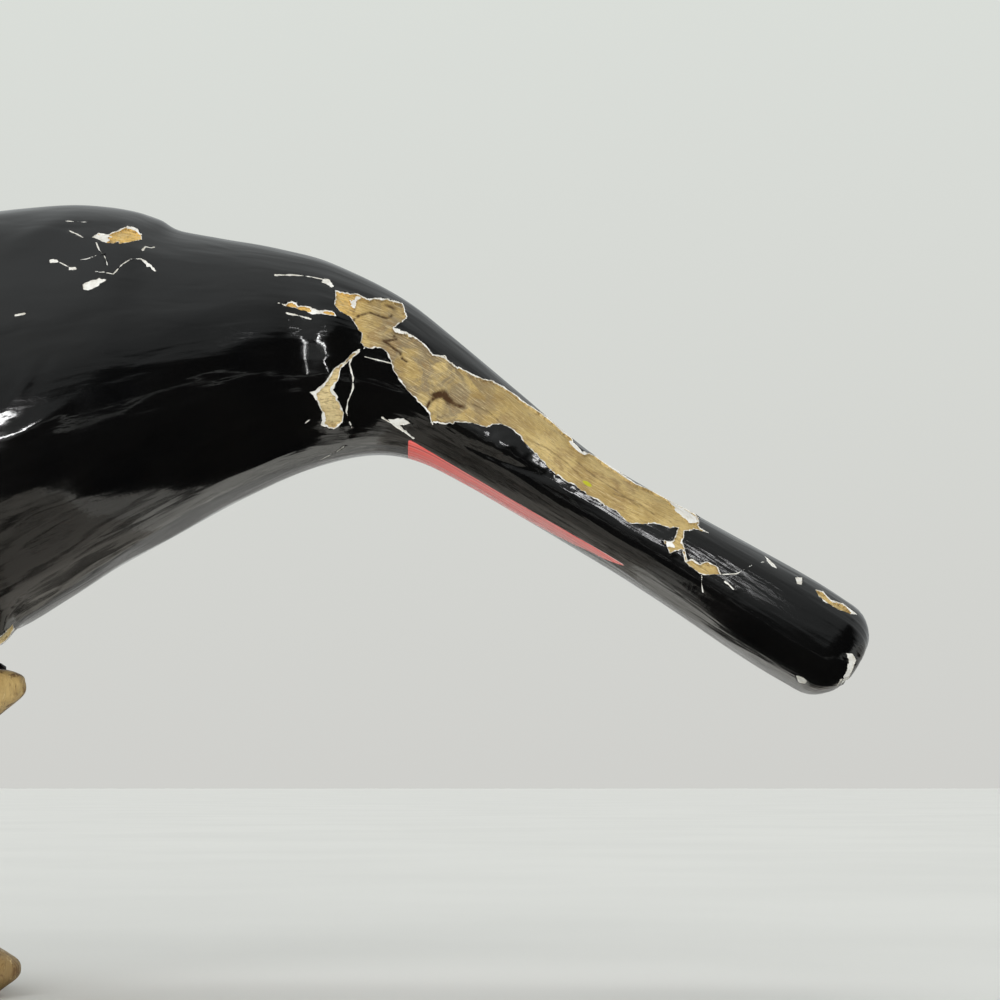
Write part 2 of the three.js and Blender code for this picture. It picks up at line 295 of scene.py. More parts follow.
# Outlines are given in the side view, as x and z. "paper" losses go down to the brown
# paper, with a broken edge of white gesso; "gesso" losses stop at the gesso.
PAPER_LOSSES = {
    "rump_and_tail": [
        (149.5, 234), (152.5, 233.5), (157.5, 233), (160.5, 231.5), (166.5, 231.5), (172.5, 230),
        (173, 227.5), (174, 225.5), (172.5, 223.5), (169.5, 221.5), (172.5, 220.5), (176.5, 218.5),
        (180.5, 215.5), (182.5, 212.5), (186.5, 212), (190.5, 208.5), (194.5, 206.5), (198.5, 204.5),
        (202.5, 203.5), (206.5, 201.5), (210.5, 198.5), (213, 196.5), (217.5, 193.5), (220.5, 191.5),
        (223.5, 188.5), (229, 183.5), (229.5, 182.5), (232.5, 179.5), (236.5, 177.5), (240, 176.5),
        (244, 173.5), (250, 169), (256, 166), (262, 162.5), (265.5, 161.5), (269.5, 158), (271, 154),
        (274.5, 152), (269.5, 153.5), (266.5, 152.5), (265.5, 149), (267, 146.5), (265.5, 146.5),
        (261.5, 145.5), (259.5, 149.5), (262.5, 149.5), (264.5, 154), (261, 154), (256, 155.5),
        (251.5, 155), (247.5, 155.5), (243.5, 159.5), (240.5, 160.5), (235.5, 164), (230.5, 167.5),
        (225.5, 170.5), (221.5, 173.5), (218.5, 176.5), (216, 179.5), (212.5, 183), (211.5, 184.5),
        (208.5, 187), (205.5, 188.5), (202.5, 188.5), (200.5, 187.5), (195.5, 189), (190.5, 189.5),
        (187, 188.5), (182.5, 189.5), (182.5, 188.5), (180.5, 193), (177, 197), (173.5, 200.5),
        (171.5, 203.5), (169.5, 206.5), (168.5, 209.5), (167, 213), (165, 214.5), (161, 214.5),
        (159.5, 215), (158, 216.5), (158.5, 219.5), (156.5, 222.5), (154, 225), (151, 226.5),
        (149, 229), (149.5, 231.5),
    ],
    "root_of_tail_low": [
        (159, 214.5), (156, 213.5), (152.5, 209.5), (149, 207.5), (146.5, 203.5), (143.5, 200.5),
        (141.5, 199.5), (144, 196.5), (145.5, 192.5), (145.5, 188.5), (149.5, 187.5), (152.5, 190),
        (152.5, 194.5), (151, 197), (149, 200.5), (150.5, 204), (151.5, 207.5), (154, 210), (157, 213),
    ],
    "root_of_tail_left": [
        (130.5, 230), (133, 229.5), (135, 230.5), (137.5, 229), (140.5, 228.5), (144, 226.5),
        (147.5, 226.5), (149.5, 226), (149.5, 225), (144.5, 225.5), (141.5, 225.5), (139.5, 227),
        (135, 228.5),
    ],
    "tail_middle": [
        (267, 146.4), (267, 142.6), (268.6, 143.6), (271.6, 142), (274, 142.6), (277, 141),
        (278.4, 138.4), (274.6, 138), (271.6, 138.6), (268.6, 140.6), (266.4, 142.6), (265.6, 146.4),
    ],
    "tail_upper_edge": [
        (309.6, 133.2), (312, 132.4), (315.2, 129.4), (318.6, 128.4), (323.2, 124.8), (321.2, 125.2),
        (317.2, 126.6), (313, 129), (310.6, 131),
    ],
    "back": [
        (67.5, 252.5), (70, 254), (72.5, 253.5), (76.5, 255), (79.5, 256.5), (83, 255.5),
        (84.5, 253.5), (84.5, 251.5), (79.5, 250.5), (77, 250), (76.5, 251), (75, 250), (72, 250.5),
    ],
    "behind_the_legs": [
        (30, 117), (36, 119.2), (41, 121), (43, 122.4), (42.6, 123.6), (39, 122.4), (34, 120.4), (30, 119),
    ],
}
GESSO_LOSSES = {
    "back_low": [(64.4, 236), (66.6, 237), (70.4, 238), (72.4, 237.4), (70, 235.6), (67, 234), (65, 234.4)],
    "back_a": [(53, 245.2), (56, 245), (56, 244.2), (53.6, 244)],
    "back_b": [(59.6, 242.6), (62.6, 242.4), (62.6, 241.4), (60, 241.4)],
    "back_c": [(84.4, 244.2), (86, 243.8), (87.6, 242), (86.4, 241.8)],
    "back_d": [(87.4, 241.8), (89, 240.8), (90.8, 239.4), (88.6, 240.2)],
    "tail_end": [
        (319.6, 112.4), (321.6, 112), (323, 110.4), (322.4, 107.6), (320.6, 105.4), (318.6, 104),
        (316.4, 100.6), (317.6, 103.4), (319.4, 106), (320.4, 109.4),
    ],
    "tail_end_low": [(303, 104.6), (304.6, 104.4), (306.4, 103), (306, 102), (304, 102.6)],
    "tail_edge_a": [(292.8, 144.6), (294.8, 143), (297, 140.2), (295.2, 140.8), (293.6, 142.8)],
    "tail_edge_b": [(302.8, 137.2), (305, 137), (305.2, 134.6), (303.6, 134.8)],
    "over_the_red": [
        (167.6, 190.4), (172.6, 190.6), (175, 189), (173, 188.6), (171.6, 188.4), (174.4, 185.6),
        (176, 184), (173.6, 185.4), (170.4, 187.6),
    ],
    "rump_top": [(145.6, 238), (147.4, 237.6), (149, 235.4), (148.4, 234.6), (146.6, 236), (145, 236.6)],
}
# Where gesso is left inside a loss.
GESSO_KEPT = [
    [(261.6, 164), (264.4, 163.6), (268.6, 159.4), (271, 156), (268, 155.4), (265.4, 158), (262.4, 160.4)],
    [(168.8, 222.2), (171.6, 222.4), (173.4, 221), (172.4, 219.8), (170, 220.2)],
    [(154.2, 230.8), (156, 232.4), (158.4, 232.4), (157.6, 230), (156, 228.6), (155, 229.2)],
    [(260, 150.6), (262.6, 149.8), (263, 147.4), (260.6, 148)],
    [(67, 252.2), (70, 254.4), (73.6, 254.2), (74.4, 252.4), (72, 250.4), (68, 251)],
]
# Cracks that show the gesso: width, and the points along them.
CRACKS = [
    (0.55, [(159.6, 214.6), (155.4, 211.6), (154.4, 209), (155.6, 204.6), (155.6, 201), (154, 197),
            (153.4, 193.4), (155.4, 188)]),
    (0.4, [(155.4, 188), (152.4, 181.6), (149.6, 179.6), (145, 177.4)]),
    (0.35, [(159.6, 211.6), (164.4, 210.4), (168.6, 209.4)]),
    (0.5, [(140, 189), (141, 190), (142, 190.4)]),
    (0.5, [(133.6, 226.6), (137.6, 225.6), (141.4, 224)]),
    (0.5, [(129.6, 239.6), (135, 239.6), (139.4, 239), (143.4, 238), (146.4, 237.4)]),
    (0.55, [(165.6, 191), (171, 187.4), (176, 184)]),
    (0.3, [(279, 138.4), (283.6, 138.6), (288, 141), (292.6, 142.4), (294.4, 143.4)]),
    (0.4, [(279.6, 136), (281, 135), (282.4, 133.4)]),
    (0.35, [(272, 138), (272, 135.4), (272.4, 132.6)]),
    (0.6, [(84.6, 247.6), (85.6, 249), (87.6, 248.6), (88.6, 249)]),
    (0.35, [(58.6, 257.6), (61.4, 257.6)]),
    (0.35, [(62.6, 257.6), (65.4, 257.6), (68, 257.4)]),
    (0.35, [(69, 240.4), (72, 240), (75, 239.4), (77.6, 242.4), (80.6, 244.4), (84, 244.4)]),
    (0.4, [(60, 254.6), (62.4, 253.6), (64.6, 252.4)]),
    (0.35, [(69, 250.6), (70, 248), (72, 245.4), (73, 242.4)]),
    (0.3, [(62, 244.6), (66, 245), (69.6, 246)]),
    (0.35, [(56, 244.6), (59.6, 242.6)]),
    (0.6, [(42.4, 225.4), (45.4, 226)]),
]

# Creases in the bare paper: half breadth, depth, and the points along them, in the side view. Their depth
# also darkens the paper's colour in the creases, as painted shade.
PAPER_CREASES = [
    (0.5, 0.35, [(169.8, 219.5), (170.6, 218.1), (167.9, 217.5), (166, 217.5), (168.3, 216.2), (170, 214.7),
                 (171.9, 213.8), (172.6, 211.4), (174.3, 210.2)]),
    (0.6, 0.3, [(155.5, 223.8), (157.9, 226.2), (161.7, 227.6), (165.5, 226.2), (167.9, 225.7),
                (169.8, 227.1), (170.5, 229), (167.4, 230.2)]),
    (0.6, 0.4, [(179.8, 193.8), (183.1, 198.1), (185, 200)]),
    (1.5, 0.42, [(183.6, 198.6), (186, 199.4), (188.4, 197)]),
    (1.0, 0.3, [(186, 199), (190, 195.8), (193, 195)]),
    (0.4, 0.2, [(196, 196), (202, 193), (207, 188), (212, 187)]),
    (0.4, 0.2, [(214, 184), (221, 181), (228, 176), (233, 171)]),
    (0.4, 0.2, [(231, 177), (238, 171), (246, 165.6), (252, 161)]),
    (0.4, 0.2, [(243, 166), (250, 163.6), (257, 158.6)]),
]

FAR = -9.0                  # a field's value away from any loss
WINDOW_MARGIN = 14          # lattice steps kept round an outline
EDGE_WALL = 0.12            # breadth of the steep edge of the paint, and of the gesso
LIP_HEIGHT = 0.24           # of the paint's edge where it has lifted, and how far back it lifts
LIP_REACH = 0.7
PAINT_DEPTH = 0.2           # from the paint down to the gesso, and how fast the gesso falls away
GESSO_SLOPE = 0.12
PAPER_DEPTH = 0.62          # from the gesso down to the paper
RUMPLE = 0.36               # heights of the bare paper's coarse and fine lumps
FINE_RUMPLE = 0.12
RAGGED_EDGE = 0.34          # how far a loss's edge wanders
FINE_EDGE = 0.17
RIM = 0.3                   # breadth of the gesso left round bare paper, and how far it wanders
RIM_SWELL = 2.6             # how much broader it gets in places
THINNEST_RIM = 0.12
KEPT_EDGE = 0.9             # how far the edge of kept gesso wanders
KEPT_INSET = 0.35
CRACK_WAVER = 0.34          # shares of a crack's width
CRACK_BREAKS = 0.3


def distance_to_line(points, line, closed):
    """Distance from points to a run of segments in space."""
    ends = np.roll(line, -1, axis=0) if closed else line[1:]
    starts = line if closed else line[:-1]
    nearest = np.full(points.shape[:-1], 1e9)
    for start, end in zip(starts, ends):
        step = end - start
        share = np.clip(((points - start) @ step) / max(step @ step, 1e-9), 0, 1)
        gap = np.linalg.norm(points - start - share[..., None] * step, axis=-1)
        nearest = np.minimum(nearest, gap)
    return nearest


def inside(rows, columns, outline):
    """Which lattice places lie inside a closed outline of (row, column) points."""
    odd = np.zeros(np.broadcast(rows, columns).shape, bool)
    for (r0, c0), (r1, c1) in zip(outline, np.roll(outline, -1, axis=0)):
        if r0 == r1:
            continue
        spans = (rows > r0) != (rows > r1)
        odd ^= spans & (columns < c0 + (rows - r0) * (c1 - c0) / (r1 - r0))
    return odd


def ragged(points, size, reach, seed):
    """The same points, pushed about so that what is measured from them comes out ragged."""
    push = [layered_noise(points, size, seed + 10 * axis, 2) for axis in range(3)]
    return points + reach * np.stack(push, axis=-1)


class Losses:
    """Two fields on the lattice, both in millimetres from their edge and positive inside it:
    paint, where the paint has gone, and paper, where the gesso has gone as well."""

    def __init__(self, lattice):
        self.lattice = lattice
        self.paint = np.full(lattice.shape, FAR)
        self.paper = np.full(lattice.shape, FAR)
        for outline in PAPER_LOSSES.values():
            self.add_patch(outline, to_paper=True)
        for outline in GESSO_LOSSES.values():
            self.add_patch(outline, to_paper=False)
        for outline in GESSO_KEPT:
            self.keep_gesso(outline)
        for width, line in CRACKS:
            self.add_crack(width, line)

    def around(self, outline):
        """Where an outline lies on the lattice and in space, and the lattice's points round it."""
        located = self.lattice.locate(np.array(outline, float))
        low = np.maximum(np.floor(located.min(axis=0)).astype(int) - WINDOW_MARGIN, 1)
        high = np.ceil(located.max(axis=0)).astype(int) + WINDOW_MARGIN
        high = np.minimum(high, np.array(self.lattice.shape) - 2)
        window = slice(low[0], high[0]), slice(low[1], high[1])
        return located, sample(self.lattice.points, *located.T), window, self.lattice.points[window]

    def patch(self, outline):
        """How far the points round a closed outline lie inside it."""
        located, edge, window, points = self.around(outline)
        sign = np.where(inside(*np.ogrid[window], located), 1, -1)
        return window, points, sign * distance_to_line(points, edge, closed=True)

    def add_patch(self, outline, to_paper):
        window, points, depth = self.patch(outline)
        depth += RAGGED_EDGE * layered_noise(ragged(points, 1.6, 0.9, 111), 1.7, 11)
        depth += FINE_EDGE * noise(points, 0.8, 14)
        self.paint[window] = np.maximum(self.paint[window], depth)
        if to_paper:
            rim = RIM + RIM_SWELL * np.clip(noise(points, 5.0, 21) - 0.3, 0, 0.5)
            rim += RIM * layered_noise(ragged(points, 1.6, 0.8, 121), 1.3, 25, 2)
            self.paper[window] = np.maximum(self.paper[window], depth - np.maximum(rim, THINNEST_RIM))

    def keep_gesso(self, outline):
        window, points, kept = self.patch(outline)
        kept += KEPT_EDGE * layered_noise(points, 1.5, 41) - KEPT_INSET
        self.paper[window] = np.minimum(self.paper[window], -kept)

    def add_crack(self, width, line):
        _, middle, window, points = self.around(line)
        depth = width / 2 - distance_to_line(points, middle, closed=False)
        waver = CRACK_WAVER * layered_noise(points, 1.5, 31) + CRACK_BREAKS * noise(points, 6.0, 35)
        depth += width * waver
        self.paint[window] = np.maximum(self.paint[window], depth)


# ---- colours of paint

RED_START = 174.3            # the red under the tail begins on this line across it
RED_TOP = ((174.4, 183.9), (246.5, 141.6))    # its edge on the flank, in the side view
RED_FAR = ((189.0, 27.0), (246.5, -19.0))     # its far edge under the tail, as x and y
RED_WOBBLE = 0.12            # the share of the other edges' wobble that its edges have
HAND_WOBBLE = 0.5            # how far the painter's hand wobbled
BIB_FROM = -40               # the bib lies in front of here
BIB = [(-162, 238), (-153, 252), (-143, 262), (-131, 262), (-120, 250), (-107, 229), (-94, 205),
       (-83, 181), (-76, 160), (-80, 143), (-100, 128), (-140, 150), (-170, 210)]
BIB_BORDER = 6.5             # breadth of the red band under the yellow
BIB_BORDER_TOP = (196, 166)  # the band thins out between these heights
EYE = (-127.5, 284.5)
EYE_SKIN = (12.5, 10.5)
IRIS = 5.6
PUPIL = 3.1
BILL_BASE_BAND = 4.0         # breadth of the black band at the bill's root
BAND_OVERLAP = 0.6           # how far the band starts before the root
GAPE_LINE = 0.5              # half the breadth of the black line between the bill's halves
GAPE = ((-150, 262), (-282, 236))
GAPE_CURVE = 1.35
BILL_TIP_BLACK = -256.0      # the bill's tip is black from here
ZONE_STRIDE = 4              # zones are drawn on every fourth lattice row and column


def line_height(line, x):
    """The height at x of the straight line through two points."""
    (x0, z0), (x1, z1) = line
    return z0 + (z1 - z0) / (x1 - x0) * (x - x0)


def smooth_loop(points, steps=6):
    """A closed smooth outline through points."""
    count = len(points)
    loop = np.array([*points[-2:], *points, *points[:3]], float)
    return spline(loop, np.arange(2, 2 + count, 1 / steps))


def gape_height(x):
    """Height of the line between the bill's two halves."""
    share = np.clip((GAPE[0][0] - x) / (GAPE[0][0] - GAPE[1][0]), 0, 1)
    return GAPE[0][1] + (GAPE[1][1] - GAPE[0][1]) * share**GAPE_CURVE


def ellipse_field(side, centre, radii):
    """Positive inside an ellipse, in millimetres near its edge."""
    scaled = np.hypot((side[..., 0] - centre[0]) / radii[0], (side[..., 1] - centre[1]) / radii[1])
    return (1 - scaled) * min(radii)


def red_zone(points, side, hand):
    """The red under the tail."""
    x, z = side[..., 0], side[..., 1]
    near = np.minimum(line_height(RED_TOP, x) - z, x - RED_START)
    reach = np.where(points[..., 0] < RED_FAR[0][0], 99, line_height(RED_FAR, points[..., 0]))
    return np.minimum(near, reach - points[..., 1]) + RED_WOBBLE * hand


def bib_zones(flat, hand):
    """The yellow bib, over the red band that borders it."""
    front = flat[..., 0] < BIB_FROM
    bib = np.full(flat.shape[:2], FAR)
    bib[front] = polygon_field(flat[front], smooth_loop(BIB))
    top, low = BIB_BORDER_TOP
    thin = smooth((top - flat[..., 1]) / (top - low))
    border = np.where(front, bib + BIB_BORDER * thin + hand, FAR)
    return {"bib_border": border, "bib_paint": bib + hand}


def bill_zones(flat, shown_height, past_root, hand):
    """The black band at the bill's root, and the paint on its two halves."""
    painted = past_root - BILL_BASE_BAND + hand
    above = flat[..., 1] - gape_height(flat[..., 0])
    before_tip = flat[..., 0] - BILL_TIP_BLACK + 0.25 * (shown_height - GAPE[0][1]) + 2 * hand
    upper = np.minimum(np.minimum(painted, above - GAPE_LINE), before_tip)
    lower = np.minimum(painted, -above - GAPE_LINE)
    return {"black_band": past_root + BAND_OVERLAP, "bill_lower": lower, "bill_upper": upper}


def eye_zones(flat, hand):
    """The bare skin round the eye, the iris and the pupil."""
    return {
        "eye_skin": ellipse_field(flat, EYE, EYE_SKIN) + hand,
        "eye_iris": ellipse_field(flat, EYE, (IRIS, IRIS)),
        "eye_pupil": ellipse_field(flat, EYE, (PUPIL, PUPIL)),
    }


def zone_fields(lattice):
    """One field for each colour, positive inside, in the order in which they cover each other."""
    points = lattice.points[::ZONE_STRIDE, ::ZONE_STRIDE]
    side = lattice.side[::ZONE_STRIDE, ::ZONE_STRIDE]
    past_root = lattice.run[::ZONE_STRIDE, None] + np.zeros(points.shape[1]) - lattice.bill_run
    flat = points[..., [0, 2]]
    hand = HAND_WOBBLE * layered_noise(points, 9, 41, 2)
    return {
        "red_paint": red_zone(points, side, hand),
        **bib_zones(flat, hand),
        **bill_zones(flat, side[..., 1], past_root, hand),
        **eye_zones(flat, hand),
    }


def polygon_field(places, loop):
    """Distance of places in the side view from a closed outline, positive inside it."""
    flat = np.column_stack([loop, np.zeros(len(loop))])
    solid = np.column_stack([places, np.zeros(len(places))])
    sign = np.where(inside(places[:, 0], places[:, 1], loop), 1, -1)
    return sign * distance_to_line(solid, flat, closed=True)


# ---- relief

WING_SHOULDER = np.array([-72.0, 214.0])
WING_TIP = np.array([96.0, 252.0])
WING_RELIEF = 2.6            # how far the folded wing stands out
WING_BREADTH = 40.0          # half its breadth, where it is broadest
WING_FULLNESS = 0.6          # under 1, it is broadest towards the shoulder
WING_EDGE = 6.0              # breadth of the step at its edge
WING_FADE = 44.0             # the wing's edge melts into the flank before here
WING_FADE_BREADTH = 55.0

# Dents and ridges on the near side: middle, half length, half breadth, lean in degrees, and height.
FOLDS = [
    ((148.0, 213.0), 24, 7.0, 100, 1.9),      # pinch beside the loss at the root of the tail
    ((149.0, 214.0), 9, 7.0, 97, -0.6),
    ((137.5, 212.0), 16, 6.0, 100, -1.0),
    ((205.0, 181.6), 12, 4.4, -27, 1.7),      # lifted fold along the tail under the loss
    ((207.0, 176.2), 14, 1.4, -22, -0.8),
    ((228.0, 167.0), 15, 3.2, -33, 0.5),
    ((51.5, 210.0), 3.0, 2.4, 0, -0.45),      # small dent in the flank
    ((46.0, 203.0), 9, 2.0, 55, 0.3),
    ((48.5, 188.0), 12, 2.4, 28, 0.55),       # low ridge across the flank
    ((47.0, 252.0), 13, 3.0, 27, 0.9),        # upper edge of the folded wing
    ((58.0, 244.0), 13, 7.0, 20, -0.7),
    ((91.0, 256.6), 4.0, 2.2, -25, 1.0),      # its tip
    ((112.0, 190.0), 26, 7.0, 30, -0.55),
    ((96.0, 172.0), 26, 4.0, 36, 0.4),
    ((84.0, 150.0), 22, 2.2, 32, 0.7),        # long pinch above the belly's edge
    ((128.0, 178.0), 16, 1.8, 24, 0.5),
    ((266.0, 127.0), 26, 1.2, -34, 0.85),     # seam along the tail's lower edge
    ((37.0, 120.0), 7, 4.5, 28, 5.0),         # root of the leg
]
# Places where the skin is crumpled: middle, half length, half breadth, lean, height, lump size.
CRUMPLES = [
    ((204.0, 182.0), 12, 5.5, -27, 0.32, 5.0),
    ((148.0, 213.0), 12, 7.0, 97, 0.25, 6.0),
    ((225.0, 172.0), 12, 3.5, -33, 0.2, 3.6),
]
# The whole skin's relief: height, size, seed. The strips of paper are long along the bird.
SKIN_LUMPS = [(0.8, 46, 51), (0.42, 23, 52)]
PAPER_STRIPS = [(0.34, (58.0, 15.0, 15.0), 55), (0.36, (34.0, 8.5, 8.5), 56), (0.11, (15.0, 4.8, 4.8), 57)]
CALM_TAIL = (0.5, 110, 190)  # the tail's relief is lower by this share; it falls between these places
SIDE_BLEND = 12              # the near side's folds die out over this breadth along the back
EYE_DOME = (2.2, 0.8)        # height, and breadth beyond the iris
EYE_LID = (0.8, 1.6)         # height, and place beyond the iris
EYE_HOLLOW = (1.4, 13)       # depth and breadth
CHEEK_SIDE = 12              # the eyes lie further out than this
GAPE_GROOVE = (0.9, 1.1, -152)     # depth, half breadth, and where it starts
FLECK = ((234.3, 169.3), 2.0, 0.8, -35)       # a fleck of green paint on the bare paper


def wing_relief(side):
    """The folded wing: a leaf shape from the shoulder to the tip, with a stepped edge."""
    axis = WING_TIP - WING_SHOULDER
    length = np.hypot(*axis)
    away = side - WING_SHOULDER
    along = (away @ axis) / length**2
    across = (away[..., 1] * axis[0] - away[..., 0] * axis[1]) / length
    safe = np.clip(along, 1e-6, 1)
    half = WING_BREADTH * np.sqrt(np.maximum(np.sin(math.pi * safe**WING_FULLNESS), 0))
    step = smooth((half - np.abs(across)) / WING_EDGE) * smooth(along * length / (3 * WING_EDGE))
    step = step * smooth((WING_FADE - side[..., 0]) / WING_FADE_BREADTH)
    return np.where((along > 0) & (along < 1), WING_RELIEF * step, 0)


def mound(side, middle, long, broad, lean):
    """A soft mound of height 1, long one way and narrow across."""
    angle = math.radians(lean)
    away = side - np.array(middle)
    along = (away[..., 0] * math.cos(angle) + away[..., 1] * math.sin(angle)) / long
    across = (away[..., 1] * math.cos(angle) - away[..., 0] * math.sin(angle)) / broad
    return np.exp(-(along**2) - across**2)


def fold_relief(points, side):
    """The folds and dents, and the places where the skin is crumpled."""
    total = np.zeros(side.shape[0])
    for *shape, height in FOLDS:
        total += height * mound(side, *shape)
    for *shape, height, size in CRUMPLES:
        total += height * mound(side, *shape) * layered_noise(points, size, 58, 2)
    return total


def head_relief(points):
    """The eye's dome in its hollow, and the groove between the bill's halves."""
    flat = points[:, [0, 2]]
    eye = np.hypot(flat[:, 0] - EYE[0], flat[:, 1] - EYE[1])
    dome = EYE_DOME[0] * np.sqrt(np.clip(1 - (eye / (IRIS + EYE_DOME[1])) ** 2, 0, 1))
    lid = EYE_LID[0] * np.exp(-((eye - IRIS - EYE_LID[1]) ** 2))
    hollow = EYE_HOLLOW[0] * np.exp(-((eye / EYE_HOLLOW[1]) ** 2))
    gape = gape_height(flat[:, 0]) - flat[:, 1]
    groove = GAPE_GROOVE[0] * np.exp(-((gape / GAPE_GROOVE[1]) ** 2)) * (flat[:, 0] < GAPE_GROOVE[2])
    return np.where(np.abs(points[:, 1]) > CHEEK_SIDE, dome + lid - hollow, 0) - groove


def relief(points, side, along):
    """How far the hand-built surface stands off the smooth form. The strips of paper and the brush
    both ran along the bird, so the finer relief is long along it and short across it."""
    lumps = sum(height * noise(points, size, seed) for height, size, seed in SKIN_LUMPS)
    strips = sum(height * noise(along, size, seed) for height, size, seed in PAPER_STRIPS)
    calm = 1 - CALM_TAIL[0] * (1 - smooth((CALM_TAIL[2] - points[:, 0]) / (CALM_TAIL[2] - CALM_TAIL[1])))
    folds = fold_relief(points, side) * smooth(0.5 - points[:, 1] / SIDE_BLEND)
    return (lumps + strips) * calm + folds + wing_relief(side) + head_relief(points)


def crease_depths(side, near):
    """How deep each place lies in the creases of the bare paper."""
    flat = np.column_stack([side, np.zeros(len(side))])
    total = np.zeros(len(side))
    for half, depth, line in PAPER_CREASES:
        spine = np.column_stack([np.array(line, float), np.zeros(len(line))])
        total = np.maximum(total, depth * np.exp(-((distance_to_line(flat, spine, False) / half) ** 2)))
    return total * near


def loss_relief(points, paint, paper, creases):
    """The step down from the paint to the gesso and to the paper, and the paint's lifted lip."""
    lifted = np.clip(noise(points, 6, 61) + 0.2, 0, 1) * (paint < 0)
    lip = LIP_HEIGHT * lifted * np.exp(np.minimum(paint, 0) / LIP_REACH)
    gesso = PAINT_DEPTH * np.clip(paint / EDGE_WALL, 0, 1)
    gesso += GESSO_SLOPE * np.clip(paint - EDGE_WALL, 0, 1)
    bare = np.clip(paper / EDGE_WALL, 0, 1)
    rumple = RUMPLE * layered_noise(points, 8, 62) + FINE_RUMPLE * layered_noise(points, 2.4, 66, 2)
    return lip - gesso - bare * (PAPER_DEPTH - rumple + creases)


# ---- cutting the mesh

MESH_STEP = 2.1              # spacing of the mesh along the bird
MESH_COLUMNS = 150           # and its columns round it
LIP_BREADTH = 2.6            # the mesh is close this far outside a loss
CLEARANCE = 0.35             # between a cut edge and the mesh's other points
CRUMPLED = 0.12              # the mesh is close where a crumpled place's mound is higher than this


def contours(field, level, stride):
    """Where a field crosses a level: crossing points as (row, column), and the pairs they join."""
    above = field > level
    rows, columns = field.shape
    across = above[:, :-1] != above[:, 1:]
    down = above[:-1] != above[1:]
    r, c = np.nonzero(across)
    share = (level - field[r, c]) / (field[r, c + 1] - field[r, c])
    points = [np.stack([r, c + share], axis=1)]
    number = np.full((2, rows, columns), -1)
    number[0, r, c] = np.arange(len(r))
    first = len(r)
    r, c = np.nonzero(down)
    share = (level - field[r, c]) / (field[r + 1, c] - field[r, c])
    points.append(np.stack([r + share, c], axis=1))
    number[1, r, c] = first + np.arange(len(r))
    pairs = []
    sides = np.stack([number[0, :-1, :-1], number[0, 1:, :-1], number[1, :-1, :-1], number[1, :-1, 1:]], -1)
    for cell in sides[(sides >= 0).any(axis=2)]:
        met = cell[cell >= 0]
        pairs.append((met[0], met[1]))
        if len(met) == 4:
            pairs[-1] = (cell[0], cell[2])
            pairs.append((cell[1], cell[3]))
    return np.vstack(points) * stride, np.array(pairs, int).reshape(-1, 2)


def every(row_step, column_step, wanted):
    """The wanted places on every few rows and columns of the lattice, off the seam."""
    chosen = np.zeros(wanted.shape, bool)
    chosen[::row_step, ::column_step] = True
    chosen[:, [0, -1]] = False
    return np.stack(np.nonzero(chosen & wanted), axis=1).astype(float)


def mesh_seeds(lattice, losses):
    """The mesh's own points: an even grid, closer in and round the losses and at the eyes."""
    along = np.linspace(0, lattice.run[-1], int(lattice.run[-1] / MESH_STEP))
    grid_rows = np.interp(along, lattice.run, np.arange(lattice.shape[0]))
    grid_columns = np.linspace(0, lattice.shape[1] - 1, MESH_COLUMNS + 1)
    r, c = (part.ravel() for part in np.meshgrid(grid_rows, grid_columns, indexing="ij"))
    paint = sample(losses.paint, r, c)
    border = (c == 0) | (c == grid_columns[-1]) | (r == 0) | (r == grid_rows[-1])
    keep = border | (paint < -LIP_BREADTH)
    seeds = [np.stack([r[keep], c[keep]], axis=1)]
    eye = np.hypot(lattice.points[..., 0] - EYE[0], lattice.points[..., 2] - EYE[1])
    crumpled = sum(mound(lattice.side, *shape) for *shape, height, size in CRUMPLES)
    crumpled = (crumpled > CRUMPLED) & (lattice.points[..., 1] < 0)
    seeds.append(every(3, 3, losses.paper > CLEARANCE))
    seeds.append(every(3, 4, (losses.paint > -LIP_BREADTH) & (losses.paint < -CLEARANCE)))
    seeds.append(every(3, 4, (eye < EYE_SKIN[0] + 2) & (losses.paint < FAR + 1)))
    seeds.append(every(2, 3, crumpled & (losses.paint < -CLEARANCE)))
    return np.vstack(seeds)


def cut_mesh(lattice, losses, zones):
    """Triangles over the flat layout, whose edges follow every loss and every edge of a colour."""
    points = [mesh_seeds(lattice, losses)]
    edges = []
    first = len(points[0])
    levels = [(losses.paint, 0, 1), (losses.paint, EDGE_WALL, 1), (losses.paper, 0, 1),
              (losses.paper, EDGE_WALL, 1), *((field, 0, ZONE_STRIDE) for field in zones.values())]
    for field, level, stride in levels:
        crossing, pairs = contours(field, level, stride)
        points.append(crossing)
        edges.append(pairs + first)
        first += len(crossing)
    rows, columns = np.vstack(points).T
    run = np.interp(rows, np.arange(lattice.shape[0]), lattice.run)
    girth = columns / (lattice.shape[1] - 1) * GIRTH
    places = [Vector(place) for place in zip(run.tolist(), girth.tolist())]
    made = delaunay_2d_cdt(places, np.vstack(edges).tolist(), [], 0, 1e-4, False)
    flat = np.array([tuple(place) for place in made[0]])
    triangles = np.array(made[2], int)
    rows = np.interp(flat[:, 0], lattice.run, np.arange(lattice.shape[0]))
    columns = np.clip(flat[:, 1] / GIRTH, 0, 1) * (lattice.shape[1] - 1)
    return rows, columns, triangles


